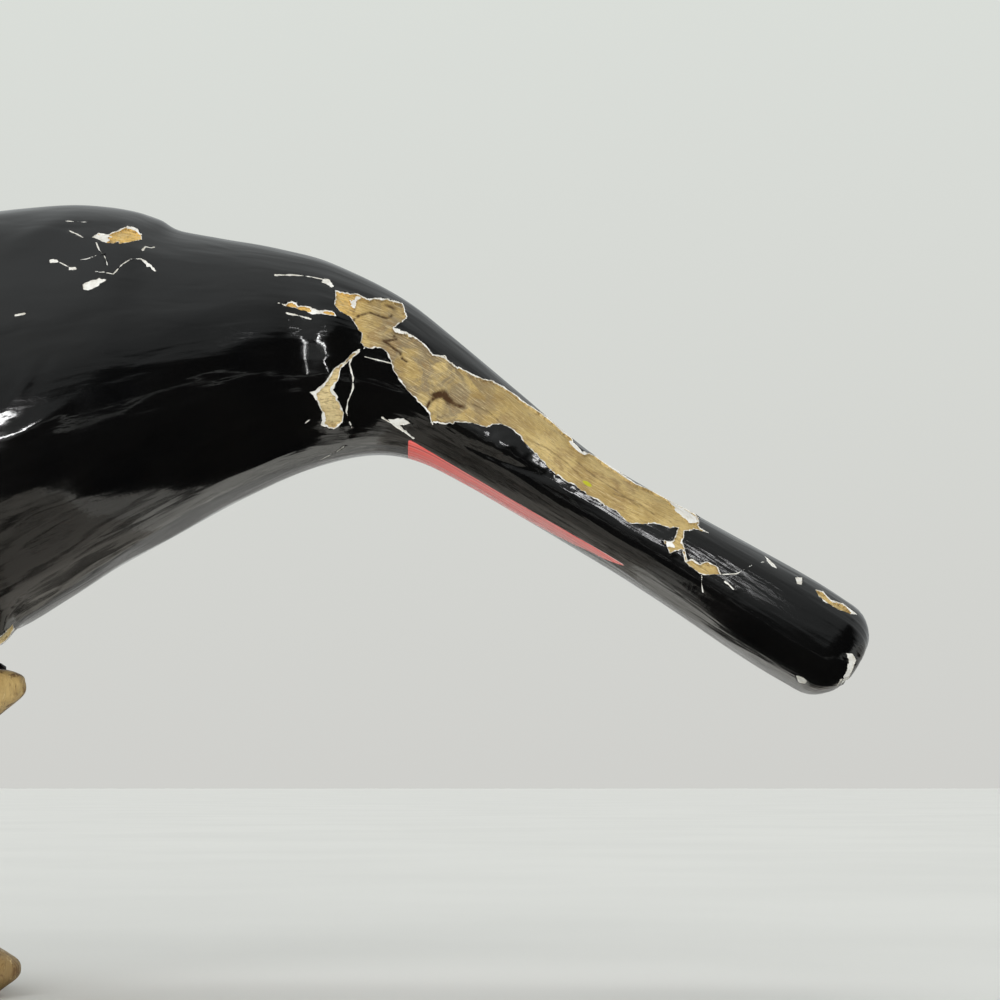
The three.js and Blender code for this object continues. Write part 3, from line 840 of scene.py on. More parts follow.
def close_seam(lattice, rows, columns, triangles):
    """Joins the two edges of the layout along the belly, and each end to one point."""
    last_row, last_column = lattice.shape[0] - 1, lattice.shape[1] - 1
    target = np.arange(len(rows))
    near = {}
    for index in np.nonzero(columns < 1e-6)[0]:
        near[round(rows[index], 3)] = index
    for index in np.nonzero(columns > last_column - 1e-6)[0]:
        target[index] = near.get(round(rows[index], 3), index)
    for end in (rows < 1e-6, rows > last_row - 1e-6):
        target[np.nonzero(end)[0]] = np.nonzero(end)[0][0]
    triangles = target[triangles]
    a, b, c = triangles.T
    whole = (a != b) & (b != c) & (a != c)
    return triangles[whole], whole


# ---- making meshes


def add_object(name, data):
    """Puts an object into the scene."""
    thing = bpy.data.objects.new(name, data)
    bpy.context.scene.collection.objects.link(thing)
    return thing


def add_mark(mesh, key, values):
    """Names a number, or a place in space, at each point of a mesh for its materials to read."""
    kind, part = ("FLOAT", "value") if values.ndim == 1 else ("FLOAT_VECTOR", "vector")
    mesh.attributes.new(key, kind, "POINT").data.foreach_set(part, values.astype(np.float32).ravel())


def make_mesh(name, points, faces, materials, slots=None, sharp=None, marks=None):
    """A smooth-shaded mesh object from points in millimetres. Edges sharper than this many degrees
    break the shading, and marks are named values at its points."""
    used, faces = np.unique(faces, return_inverse=True)
    faces = faces.reshape(-1, 3)
    mesh = bpy.data.meshes.new(name)
    mesh.from_pydata((points[used] * MM).tolist(), [], faces.tolist())
    for material in materials:
        mesh.materials.append(material)
    if slots is not None:
        mesh.polygons.foreach_set("material_index", slots.astype(np.int32))
    mesh.polygons.foreach_set("use_smooth", np.ones(len(faces), bool))
    if sharp:
        mesh.set_sharp_from_angle(angle=math.radians(sharp))
    for key, values in (marks or {}).items():
        add_mark(mesh, key, values[used])
    mesh.update()
    return add_object(name, mesh)


# ---- materials

LUMP_HEIGHT = 0.0003         # relief of the gloss, in metres
STROKE_HEIGHT = 0.00007
DUST_HEIGHT = 0.000014
# Colours in linear light. Where there are two, the darker comes first.
BLACK = ((0.0012, 0.0013, 0.0015), (0.0032, 0.003, 0.0027))
GESSO = ((0.56, 0.53, 0.46), (0.8, 0.79, 0.75))
RED = (1.0, 0.085, 0.065)
RED_THINNED = (0.98, 0.52, 0.5)
RED_LINES = (0.55, 0.02, 0.035)
RED_THINS = (0.176, 0.246)   # the red thins along the tail between these places, in metres
BILL_ORANGE = (0.7, 0.2, 0.02)
BILL_AMBER = (0.82, 0.42, 0.03)
BILL_OCHRE = (0.78, 0.55, 0.09)
KRAFT = [(0.34, (0.36, 0.245, 0.09)), (0.5, (0.53, 0.385, 0.15)), (0.68, (0.65, 0.49, 0.21))]
KRAFT_FACING = (0.74, 0.6, 0.32)     # the paper of the rump, lower and upper layer
KRAFT_GOLDEN = (0.76, 0.5, 0.15)
KRAFT_GLUED = (0.25, 0.2, 0.125)
KRAFT_STAIN = (0.34, 0.225, 0.095)
KRAFT_MATTED = (0.22, 0.145, 0.065)
KRAFT_THREADS = ((0.25, 0.16, 0.07), (0.76, 0.62, 0.35))
# painted shade: the colour the paper is darkened to in its creases
KRAFT_CREASE_SHADE = (0.07, 0.035, 0.015)
GREEN_FLECK = (0.5, 0.5, 0.03)
STUMP_TAN = ((0.4, 0.26, 0.09), (0.62, 0.45, 0.19))
STUMP_FOOT = (0.26, 0.17, 0.07)
STUMP_BROWN = (0.14, 0.07, 0.022)
STUMP_PALE = (0.72, 0.57, 0.3)


class Nodes:
    """A short way to write the node tree of a material or of the world."""

    def __init__(self, owner, place="Object"):
        owner.use_nodes = True
        self.tree = owner.node_tree
        self.tree.nodes.clear()
        self.place = self.add("ShaderNodeTexCoord").outputs[place]
        self.flow = None

    def add(self, kind, **settings):
        node = self.tree.nodes.new(kind)
        for key, value in settings.items():
            setattr(node, key, value)
        return node

    def link(self, source, target):
        self.tree.links.new(source, target)

    def put(self, target, value):
        if isinstance(value, bpy.types.NodeSocket):
            self.link(value, target)
        else:
            target.default_value = value

    def stretched(self, scale, source=None):
        """Object coordinates scaled by axis, per metre."""
        node = self.add("ShaderNodeMapping")
        node.inputs["Scale"].default_value = scale
        self.link(source or self.place, node.inputs["Vector"])
        return node.outputs["Vector"]

    def mark(self, key, kind):
        """What the mesh names at each of its points."""
        return self.add("ShaderNodeAttribute", attribute_name=key).outputs[kind]

    def brushed(self, length, breadth):
        """Coordinates that follow the bird's body, so that a texture runs along it in strokes. Length
        and breadth are how many strokes there are to the metre, along the bird and across."""
        if self.flow is None:
            self.flow = self.mark("flow", "Vector")
        return self.stretched((length, breadth, breadth), self.flow)

    def noise(self, vector, scale=1.0, detail=4.0, roughness=0.55, distortion=0.0):
        node = self.add("ShaderNodeTexNoise")
        self.put(node.inputs["Vector"], vector)
        node.inputs["Scale"].default_value = scale
        node.inputs["Detail"].default_value = detail
        node.inputs["Roughness"].default_value = roughness
        node.inputs["Distortion"].default_value = distortion
        return node.outputs["Fac"]

    def ramp(self, value, *stops):
        """A colour for each place on a scale; each stop is (place, colour or grey)."""
        node = self.add("ShaderNodeValToRGB")
        self.put(node.inputs["Fac"], value)
        elements = node.color_ramp.elements
        while len(elements) < len(stops):
            elements.new(1.0)
        for element, (place, colour) in zip(elements, stops):
            element.position = place
            element.color = (*colour, 1) if isinstance(colour, tuple) else (colour, colour, colour, 1)
        return node.outputs["Color"]

    def math(self, operation, one, two=0.0):
        node = self.add("ShaderNodeMath", operation=operation)
        self.put(node.inputs[0], one)
        self.put(node.inputs[1], two)
        return node.outputs[0]

    def mix(self, share, one, two):
        node = self.add("ShaderNodeMix", data_type="RGBA")
        self.put(node.inputs["Factor"], share)
        for socket, value in ((node.inputs["A"], one), (node.inputs["B"], two)):
            self.put(socket, (*value, 1) if isinstance(value, tuple) else value)
        return node.outputs["Result"]

    def axis(self, name):
        node = self.add("ShaderNodeSeparateXYZ")
        self.link(self.place, node.inputs[0])
        return node.outputs[name]

    def between(self, value, low, high, shape="SMOOTHSTEP"):
        """0 at low and 1 at high."""
        node = self.add("ShaderNodeMapRange", interpolation_type=shape)
        self.put(node.inputs["Value"], value)
        node.inputs["From Min"].default_value = low
        node.inputs["From Max"].default_value = high
        return node.outputs["Result"]

    def bump(self, height, distance, after=None):
        """Bends the light off small relief, on top of what an earlier bump has bent."""
        node = self.add("ShaderNodeBump")
        node.inputs["Strength"].default_value = 1
        node.inputs["Distance"].default_value = distance
        self.put(node.inputs["Height"], height)
        if after is not None:
            self.link(after, node.inputs["Normal"])
        return node.outputs["Normal"]


class Paint(Nodes):
    """A material and its one shader."""

    def __init__(self, name):
        self.material = bpy.data.materials.new(name)
        super().__init__(self.material)
        self.shader = self.add("ShaderNodeBsdfPrincipled")
        output = self.add("ShaderNodeOutputMaterial")
        self.link(self.shader.outputs["BSDF"], output.inputs["Surface"])

    def finish(self, colour, roughness, normal, specular=0.5):
        self.put(self.shader.inputs["Base Color"], colour)
        self.put(self.shader.inputs["Roughness"], roughness)
        self.shader.inputs["Specular IOR Level"].default_value = specular
        self.link(normal, self.shader.inputs["Normal"])
        return self.material


def brushed_gloss(nodes, rough):
    """The gloss of thick enamel: long brush strokes, slow lumps and a little dust."""
    stroke = nodes.noise(nodes.brushed(36, 300), 1.0, 3.0, 0.55, 0.25)
    lump = nodes.noise(nodes.brushed(52, 185), 1.0, 1.5, 0.45, 0.35)
    dust = nodes.noise(nodes.place, 900.0, 2.0, 0.5)
    normal = nodes.bump(lump, LUMP_HEIGHT)
    normal = nodes.bump(stroke, STROKE_HEIGHT, after=normal)
    normal = nodes.bump(dust, DUST_HEIGHT, after=normal)
    wear = nodes.noise(nodes.place, 55.0, 5.0, 0.65, 0.6)
    roughness = nodes.ramp(wear, (0.35, rough[0]), (0.7, rough[1]))
    return roughness, normal


def black_paint():
    nodes = Paint("black_paint")
    roughness, normal = brushed_gloss(nodes, (0.07, 0.15))
    tone = nodes.noise(nodes.place, 30.0, 3.0)
    colour = nodes.ramp(tone, (0.3, BLACK[0]), (0.7, BLACK[1]))
    nodes.shader.inputs["IOR"].default_value = 1.6
    return nodes.finish(colour, roughness, normal)


def coloured_paint(name, main, streak, share=(0.55, 0.75), rough=(0.16, 0.3)):
    """Brushed paint with streaks of a thinner, paler colour along the strokes."""
    nodes = Paint(name)
    roughness, normal = brushed_gloss(nodes, rough)
    strokes = nodes.noise(nodes.brushed(26, 420), 1.0, 4.0, 0.6, 0.4)
    cloud = nodes.noise(nodes.place, 60.0, 4.0)
    soft = nodes.mix(nodes.between(cloud, 0.35, 0.7), main, tuple(0.8 * value for value in main))
    colour = nodes.mix(nodes.between(strokes, *share), soft, streak)
    return nodes.finish(colour, roughness, normal)


def red_paint():
    """Red brushed thinly along the tail, so that it turns pink and streaky towards its point."""
    nodes = Paint("red_paint")
    roughness, normal = brushed_gloss(nodes, (0.14, 0.26))
    strokes = nodes.noise(nodes.brushed(11, 520), 1.0, 4.0, 0.65, 0.25)
    lines = nodes.noise(nodes.brushed(8, 800), 1.0, 3.0, 0.6, 0.2)
    thin = nodes.between(nodes.axis("X"), *RED_THINS)
    pink = nodes.math("MULTIPLY", nodes.between(strokes, 0.42, 0.6), nodes.math("ADD", thin, 0.3))
    base = nodes.mix(pink, RED, RED_THINNED)
    colour = nodes.mix(nodes.between(lines, 0.57, 0.65), base, RED_LINES)
    return nodes.finish(colour, roughness, normal)


def gesso():
    nodes = Paint("gesso")
    grain = nodes.noise(nodes.place, 1500.0, 4.0, 0.7)
    cloud = nodes.noise(nodes.place, 300.0, 4.0, 0.6)
    colour = nodes.ramp(cloud, (0.3, GESSO[0]), (0.6, GESSO[1]))
    return nodes.finish(colour, 0.75, nodes.bump(grain, 0.0001), 0.3)


def kraft_layers(nodes):
    """The brown of the paper, golden on the rump, and darker where glue soaked in or it is stained."""
    cloud = nodes.noise(nodes.place, 62.0, 6.0, 0.62, 0.3)
    stain = nodes.noise(nodes.place, 130.0, 4.0, 0.6, 0.5)
    rump = nodes.between(nodes.axis("X"), 0.163, 0.153)
    high = nodes.between(nodes.axis("Z"), 0.208, 0.214)
    golden = nodes.mix(rump, nodes.ramp(cloud, *KRAFT), nodes.mix(high, KRAFT_FACING, KRAFT_GOLDEN))
    before = nodes.between(nodes.axis("X"), 0.216, 0.19)
    after = nodes.between(nodes.axis("X"), 0.16, 0.17)
    glued = nodes.math("MULTIPLY", nodes.math("MULTIPLY", before, after), nodes.between(stain, 0.38, 0.56))
    soaked = nodes.mix(glued, golden, KRAFT_GLUED)
    return nodes.mix(nodes.between(stain, 0.5, 0.72), soaked, KRAFT_STAIN)


def kraft_marks(nodes, paper, speck):
    """The fleck of green paint on the paper, and painted shade that darkens its creases."""
    marked = nodes.mix(nodes.between(nodes.mark("fleck", "Fac"), 0.35, 0.6), paper, GREEN_FLECK)
    patchy = nodes.math("ADD", nodes.math("MULTIPLY", speck, 1.6), 0.1)
    broken = nodes.math("MULTIPLY", nodes.mark("crease", "Fac"), patchy)
    return nodes.mix(nodes.between(broken, 0.04, 0.32), marked, KRAFT_CREASE_SHADE)


def kraft_paper():
    """Layers of brown paper: matted fibres, with pale and dark threads among them."""
    nodes = Paint("kraft_paper")
    fibre = nodes.noise(nodes.brushed(380, 950), 1.0, 6.0, 0.72, 1.6)
    thread = nodes.noise(nodes.brushed(160, 1500), 1.0, 5.0, 0.7, 0.9)
    speck = nodes.noise(nodes.place, 700.0, 4.0, 0.7, 0.4)
    paper = nodes.mix(nodes.between(fibre, 0.52, 0.3), kraft_layers(nodes), KRAFT_MATTED)
    paper = nodes.mix(nodes.between(thread, 0.5, 0.72), paper, KRAFT_THREADS[1])
    paper = nodes.mix(nodes.between(thread, 0.46, 0.3), paper, KRAFT_THREADS[0])
    normal = nodes.bump(speck, 0.0003, after=nodes.bump(fibre, 0.0004))
    return nodes.finish(kraft_marks(nodes, paper, speck), 0.85, normal, 0.2)


def bill_upper():
    """Ochre yellow that the brush has run into orange towards the gape."""
    nodes = Paint("bill_upper_paint")
    roughness, normal = brushed_gloss(nodes, (0.14, 0.26))
    streak = nodes.noise(nodes.brushed(18, 300), 1.0, 4.0, 0.6, 0.3)
    height = nodes.math("ADD", nodes.axis("Z"), nodes.math("MULTIPLY", streak, 0.03))
    colour = nodes.ramp(nodes.between(height, 0.262, 0.312), (0.0, BILL_ORANGE), (0.45, BILL_AMBER),
                        (1.0, BILL_OCHRE))
    return nodes.finish(colour, roughness, normal)


def stump_paint():
    """Tan paint with brown strokes that run up the trunk and swirl round its knobs, varnished."""
    nodes = Paint("stump_paint")
    swirl = nodes.noise(nodes.stretched((130, 130, 30)), 1.0, 5.0, 0.66, 2.2)
    stroke = nodes.noise(nodes.stretched((420, 420, 60)), 1.0, 4.0, 0.65, 1.6)
    cloud = nodes.noise(nodes.place, 45.0, 5.0, 0.6)
    tan = nodes.ramp(cloud, (0.3, STUMP_TAN[0]), (0.65, STUMP_TAN[1]))
    foot = nodes.math("MULTIPLY", nodes.between(nodes.axis("Z"), 0.05, 0.0), 0.9)
    base = nodes.mix(foot, tan, STUMP_FOOT)
    brown = nodes.mix(nodes.between(swirl, 0.47, 0.59), base, STUMP_BROWN)
    colour = nodes.mix(nodes.between(stroke, 0.56, 0.7), brown, STUMP_PALE)
    rough = nodes.bump(swirl, 0.0007)
    normal = nodes.bump(stroke, 0.0003, after=rough)
    return nodes.finish(colour, nodes.ramp(cloud, (0.3, 0.25), (0.7, 0.45)), normal)


# ---- the bird

SHARP_EDGE = 38              # degrees between faces, beyond which the shading breaks
PAINTS = {
    "black_paint": black_paint,
    "gesso": gesso,
    "kraft_paper": kraft_paper,
    "red_paint": red_paint,
    "bib_border": lambda: coloured_paint("bib_border_paint", (0.62, 0.04, 0.025), (0.75, 0.2, 0.12)),
    "bib_paint": lambda: coloured_paint("bib_paint", (0.82, 0.52, 0.07), (0.88, 0.7, 0.3)),
    "bill_lower": lambda: coloured_paint("bill_lower_paint", (0.075, 0.012, 0.01), (0.16, 0.04, 0.03)),
    "bill_upper": bill_upper,
    "eye_skin": lambda: coloured_paint("eye_skin_paint", (0.22, 0.42, 0.1), (0.4, 0.55, 0.2)),
    "eye_iris": lambda: coloured_paint("eye_iris_paint", (0.14, 0.05, 0.02), (0.25, 0.1, 0.04)),
}


def paint_slots(losses, zones, rows, columns, triangles):
    """The number in PAINTS of what covers each triangle."""
    names = list(PAINTS)
    row, column = rows[triangles].mean(axis=1), columns[triangles].mean(axis=1)
    slots = np.zeros(len(triangles), int)
    for name, field in zones.items():
        covered = sample(field, row / ZONE_STRIDE, column / ZONE_STRIDE) > 0
        slots[covered] = names.index("black_paint" if name in ("black_band", "eye_pupil") else name)
    slots[sample(losses.paint, row, column) > 0] = names.index("gesso")
    slots[sample(losses.paper, row, column) > 0] = names.index("kraft_paper")
    return slots


def stroke_places(lattice, rows, columns):
    """The same places on an even tube, along which the strips and the brush strokes run."""
    turn = columns / (lattice.shape[1] - 1) * 2 * math.pi
    radius = GIRTH / (2 * math.pi)
    run = np.interp(rows, np.arange(lattice.shape[0]), lattice.run)
    return np.stack([run, radius * np.cos(turn), radius * np.sin(turn)], axis=1)


def make_bird(paints):
    lattice = Lattice()
    losses = Losses(lattice)
    zones = zone_fields(lattice)
    rows, columns, triangles = cut_mesh(lattice, losses, zones)
    slots = paint_slots(losses, zones, rows, columns, triangles)
    points = sample(lattice.points, rows, columns)
    normals = sample(lattice.normals, rows, columns)
    side = sample(lattice.side, rows, columns)
    paint = sample(losses.paint, rows, columns)
    paper = sample(losses.paper, rows, columns)
    along = stroke_places(lattice, rows, columns)
    creases = crease_depths(side, points[:, 1] < 0)
    height = relief(points, side, along) + loss_relief(points, paint, paper, creases)
    triangles, whole = close_seam(lattice, rows, columns, triangles)
    # the crease depths also reach the paper's material, which paints shade into the creases
    marks = {"crease": creases, "fleck": mound(side, *FLECK), "flow": along * MM}
    raised = points + normals * height[:, None]
    return make_mesh("bird_shell", raised, triangles, paints, slots[whole], SHARP_EDGE, marks)


# ---- feet

THIGH = {"at": (17, 17, 120), "size": (18, 12, 15)}
HEEL = {"drop": 9, "size": (9.5, 8, 9)}
TOE_RADIUS = 4.6
TOE_LIFT = 0.7
TOES = [(-1, 0.19, 18), (-1, -0.26, 17), (1, 0.17, 11), (1, -0.27, 10)]    # way, turn outwards, reach
KNUCKLES = [(0.0, 1.15, 1.0), (0.34, 1.0, 1.0), (0.7, 0.94, 0.95), (1.0, 0.8, 0.8)]  # place, breadth, height
KNUCKLE_LENGTH = 1.45        # in radii of the toe, like the knuckles and the claw
CLAW = (1.1, 0.45, 0.5)
CLAW_DROOP = 0.25
FOOT_VOXEL = 0.9             # size of the cells in which the foot's forms are joined
FOOT_SMOOTHING = 3
FOOT_LUMPS = (0.22, 6.0, 71)       # height, size, seed


def ball(bm, centre, size, turn=(0, 0, 0)):
    """Adds an ellipsoid, in millimetres."""
    spin = Euler(turn).to_matrix().to_4x4()
    matrix = Matrix.Translation(centre) @ spin @ Matrix.Diagonal((*size, 1))
    bmesh.ops.create_uvsphere(bm, u_segments=32, v_segments=20, radius=1, matrix=matrix)


def add_toe(bm, side, way, outwards, reach):
    """One toe along the cut top, with two knuckles and a blunt claw."""
    x, y = THIGH["at"][0], side * THIGH["at"][1]
    turn = way * outwards * side
    lean = -math.atan(STUMP["slope"])
    for share, swell, flat in KNUCKLES:
        step = way * reach * share
        at_x = x + step * math.cos(turn)
        at = (at_x, y + step * math.sin(turn), stump_top(at_x) + TOE_RADIUS * TOE_LIFT)
        ball(bm, at, (TOE_RADIUS * KNUCKLE_LENGTH, TOE_RADIUS * swell, TOE_RADIUS * flat), (0, lean, turn))
    tip = way * (reach + TOE_RADIUS * 1.2)
    at_x = x + tip * math.cos(turn)
    claw = (at_x, y + tip * math.sin(turn), stump_top(at_x) + TOE_RADIUS * 0.45)
    size = [TOE_RADIUS * share for share in CLAW]
    ball(bm, claw, size, (0, lean + CLAW_DROOP * way, turn))


def join_skin(thing, voxel, smoothing):
    """Makes one closed skin of the overlapping forms of a mesh object."""
    remesh = thing.modifiers.new("skin", "REMESH")
    remesh.mode = "VOXEL"
    remesh.voxel_size = voxel * MM
    relax = thing.modifiers.new("relax", "SMOOTH")
    relax.iterations = smoothing
    relax.factor = 0.5
    bpy.context.view_layer.update()
    view = bpy.context.evaluated_depsgraph_get()
    mesh = bpy.data.meshes.new_from_object(thing.evaluated_get(view))
    thing.modifiers.clear()
    thing.data = mesh
    mesh.polygons.foreach_set("use_smooth", np.ones(len(mesh.polygons), bool))


def make_feet(material):
    """The thighs, drawn in at the heel, and the toes that grip the stump."""
    bm = bmesh.new()
    x, y, z = THIGH["at"]
    for side in (-1, 1):
        ball(bm, (x, side * y, z), THIGH["size"])
        ball(bm, (x, side * y, z - HEEL["drop"]), HEEL["size"])
        for way, outwards, reach in TOES:
            add_toe(bm, side, way, outwards, reach)
    bmesh.ops.scale(bm, vec=(MM, MM, MM), verts=bm.verts)
    mesh = bpy.data.meshes.new("bird_feet")
    bm.to_mesh(mesh)
    bm.free()
    thing = add_object("bird_feet", mesh)
    join_skin(thing, FOOT_VOXEL, FOOT_SMOOTHING)
    roughen(thing, *FOOT_LUMPS)
    thing.data.materials.clear()
    thing.data.materials.append(material)
    return thing


def roughen(thing, height, size, seed):
    """Small lumps along the normals of a mesh object."""
    count = len(thing.data.vertices)
    places, normals = np.zeros(count * 3), np.zeros(count * 3)
    thing.data.vertices.foreach_get("co", places)
    thing.data.vertices.foreach_get("normal", normals)
    places, normals = places.reshape(-1, 3) / MM, normals.reshape(-1, 3)
    places += normals * (height * layered_noise(places, size, seed))[:, None]
    thing.data.vertices.foreach_set("co", (places * MM).ravel())
    add_mark(thing.data, "flow", places * MM)
    thing.data.update()


# ---- stump

STUMP = {"height": 107.0, "back": 38.0, "slope": 0.13, "radius": 35.5, "edge": 3.0, "waist": 1.2,
         "flare": 2.5, "flare_fall": 16.0}
BARK_RIDGES = (9.0, 9.0, 52.0)     # sizes of the bark's ridges and fissures, long up the trunk
BARK_FISSURES = (11.0, 11.0, 70.0)
BARK_WAVES = [(0.72, 2, 0.0), (0.56, 5, 1 / 30)]     # depth, waves round, lean
# Root toes and knobs: turn in degrees, reach, level, rise, spread.
LUMPS = [
    (0, 48.6, 9, 7, 0.24), (60, 59, 4, 13, 0.36), (117, 63, 4, 15, 0.38), (172, 68, 4, 15, 0.4),
    (232, 64, 4, 14, 0.38), (294, 61, 4, 13, 0.36), (0, 48.2, 100, 8, 0.2), (208, 45, 60, 10, 0.26),
]
STUMP_LEVELS = 132
STUMP_SIDES = 320
TOP_RINGS = 46
TOP_REACH = 34               # of the year rings on the cut top, and the breadth of one
YEAR_RING = 3.6


def stump_top(x):
    return STUMP["height"] - (STUMP["back"] - x) * STUMP["slope"]


def stump_radius(angle, height):
    radius = STUMP["radius"] + STUMP["flare"] * np.exp(-height / STUMP["flare_fall"])
    radius = radius - STUMP["waist"] * np.sin(math.pi * height / STUMP["height"])
    for depth, waves, lean in BARK_WAVES:
        radius = radius + depth * np.sin(waves * angle + height * lean)
    trunk = radius
    for turn, reach, level, rise, spread in LUMPS:
        away = np.abs((angle - math.radians(turn) + math.pi) % (2 * math.pi) - math.pi)
        lump = np.exp(-((away / spread) ** 2) - (np.abs((height - level) / rise)) ** 2.6)
        radius = radius + np.maximum(0, reach - trunk) * lump
    return radius


def bark_relief(points, height):
    """Ridges of bark pressed in while the pulp was wet, which die out at the foot and the cut edge."""
    ridges = layered_noise(points, np.array(BARK_RIDGES), 81, 3)
    fissure = np.clip(0.16 - np.abs(noise(points, BARK_FISSURES, 85)), 0, 1)
    lumps = noise(points, 17, 86)
    fade = smooth(height / 6) * smooth((STUMP["height"] - height) / 5)
    return fade * (0.75 * ridges - 5.0 * fissure + 0.5 * lumps)


def stump_rings():
    """The trunk's rings from the foot to the cut edge, then the cut top's rings to its middle."""
    angle = np.arange(STUMP_SIDES) / STUMP_SIDES * 2 * math.pi
    levels = STUMP["height"] * np.linspace(0, 1, STUMP_LEVELS) ** 0.92
    bevel = STUMP["edge"]
    rings = []
    for height in levels:
        into = max(0.0, height - (STUMP["height"] - bevel))
        inset = bevel - math.sqrt(bevel**2 - into**2) if height > 0 else bevel / 3
        level = np.full(len(angle), height)
        radius = stump_radius(angle, height) - inset
        flat = np.stack([radius * np.cos(angle), radius * np.sin(angle), level], axis=1)
        radius = radius + bark_relief(flat, level)
        x, y = radius * np.cos(angle), radius * np.sin(angle)
        rings.append(np.stack([x, y, height / STUMP["height"] * stump_top(x)], axis=1))
    edge = rings[-1]
    for share in np.linspace(1, 0, TOP_RINGS)[1:-1]:
        x, y = edge[:, 0] * share, edge[:, 1] * share
        place = np.stack([x, y, np.zeros(len(x))], axis=1)
        growth = share * TOP_REACH + 2.0 * noise(place, 22, 91)
        ring = np.sin(2 * math.pi * growth / YEAR_RING)
        height = (0.22 * ring + 0.3 * layered_noise(place, 12, 92) - 0.1) * smooth((1 - share) * 12)
        rings.append(np.stack([x, y, stump_top(x) + height], axis=1))
    return rings


def make_stump(material):
    rings = stump_rings()
    sides = STUMP_SIDES
    points = np.vstack([*rings, [[0, 0, stump_top(0)]], [[0, 0, 0]]])
    here = np.arange(sides)
    following = (here + 1) % sides
    faces = []
    for index in range(len(rings) - 1):
        low, high = index * sides, (index + 1) * sides
        faces.append(np.stack([low + here, low + following, high + following], axis=1))
        faces.append(np.stack([low + here, high + following, high + here], axis=1))
    last = (len(rings) - 1) * sides
    centre = len(rings) * sides
    faces.append(np.stack([last + here, last + following, np.full(sides, centre)], axis=1))
    faces.append(np.stack([following, here, np.full(sides, centre + 1)], axis=1))
    return make_mesh("stump_wood", points, np.vstack(faces), [material])


# ---- camera, floor and light

BACKDROP_LOW = (0.63, 0.63, 0.605)
BACKDROP_HIGH = (0.7, 0.727, 0.69)
BACKDROP_RISE = 0.28         # the backdrop lightens until directions point up this much
FLOOR_COLOUR = (0.8, 0.8, 0.765)
FLOOR_SIZE = 80.0
# The room seen in the gloss. Its brightness rises with height, sooner towards the bird's head, and
# the room behind the bird is evenly bright. Stops: how far up a direction points, and how bright.
ROOM_UP = (-0.6, 0.0, 0.8)
ROOM = [(-0.02, 0.015), (0.1, 0.04), (0.17, 0.26), (0.34, 0.34), (0.55, 0.46), (0.72, 0.6), (1.0, 0.68)]
ROOM_BEHIND = 0.5
ROOM_TURN = (-0.25, 0.15)    # how far back a direction points where the room behind takes over
ROOM_TINT = (0.96, 1.0, 1.0)
# Sheets on the floor that only the gloss sees, as painted reflections: height, colour and outline. A dark
# one in front paints a dark reflection, a warm grey one lies under the bird, a bright one under the tail
# paints a bright reflection and a grey one behind paints a reflected shadow.
REFLECTION_SHEETS = {
    "dark_reflection_front": (0.004, (0.012, 0.012, 0.012), [
        (-0.5, -0.37), (-0.1, -0.35), (0.02, -0.33), (0.14, -0.3), (0.165, -0.26), (0.176, -0.07),
        (0.186, 0.0), (0.205, 0.17), (0.75, 0.26), (5.5, -5.5), (-5.0, -5.5)]),
    "grey_reflection_under": (0.002, (0.58, 0.54, 0.48), [(-0.8, -0.4), (1.0, -0.4), (1.0, 0.3), (-0.8, 0.3)]),
    "shadow_reflection_back": (0.002, (0.42, 0.41, 0.39), [(-3.0, 0.3), (3.0, 0.3), (4.0, 4.0), (-4.0, 4.0)]),
    "bright_reflection_tail": (0.003, (0.95, 0.92, 0.85), [(0.16, -0.4), (0.28, -0.4), (0.28, 0.3), (0.16, 0.3)]),
}
# Broad suns that light the paint's colour: direction they come from, breadth in degrees, strength.
SUNS = [
    ("front", (-0.25, -0.9, 0.4), 45, 1.1),
    ("low", (0.12, -1.0, 0.06), 24, 1.85),     # for the underside
    ("top", (0.1, 0.2, 1.0), 60, 0.8),
]
# Small spot lamps seen only in the gloss: places, what they point at, radius, beam in degrees, power.
GLINTS = {
    "glint_flank": ([(-0.02, -1.45, 0.285), (0.04, -1.45, 0.31), (0.1, -1.445, 0.335), (0.16, -1.44, 0.36)],
                    (0.057, -0.058, 0.181), 0.035, 4.0, 2.1),
    "glint_pinch": ([(0.28, -1.4, 0.42), (0.29, -1.37, 0.53), (0.31, -1.33, 0.64), (0.33, -1.28, 0.75)],
                    (0.149, -0.036, 0.208), 0.035, 3.5, 1.6),
    "glint_fold": ([(0.47, -1.2, 0.88), (0.55, -1.15, 0.91), (0.63, -1.1, 0.95), (0.71, -1.04, 0.98)],
                   (0.215, -0.026, 0.175), 0.055, 5.0, 1.9),
}


def make_camera():
    camera = add_object("camera", bpy.data.cameras.new("camera"))
    camera.data.sensor_width = SENSOR
    camera.data.lens = SENSOR * VIEW_DISTANCE / VIEW_WIDTH
    camera.data.clip_end = 200
    camera.location = camera_place() * MM
    look = Vector(VIEW_TARGET * MM) - camera.location
    camera.rotation_euler = look.to_track_quat("-Z", "Y").to_euler()
    bpy.context.scene.camera = camera


def floor_material():
    nodes = Paint("floor_paint")
    tone = nodes.noise(nodes.place, 2.5, 3.0)
    shade = tuple(0.96 * value for value in FLOOR_COLOUR)
    colour = nodes.mix(nodes.between(tone, 0.3, 0.7), FLOOR_COLOUR, shade)
    return nodes.finish(colour, 1.0, nodes.bump(nodes.noise(nodes.place, 400.0), 0.0001), 0.0)


def lay_flat(name, outline, height, material):
    """A flat sheet that isn't part of the bird."""
    mesh = bpy.data.meshes.new(name)
    mesh.from_pydata([(x, y, height) for x, y in outline], [], [range(len(outline))])
    mesh.materials.append(material)
    sheet = add_object(name, mesh)
    return sheet


def make_floor():
    half = FLOOR_SIZE / 2
    corners = [(-half, -half), (half, -half), (half, half), (-half, half)]
    lay_flat("floor", corners, 0, floor_material())


def tinted(level):
    """The room's colour at a brightness."""
    return tuple(level * tint for tint in ROOM_TINT)


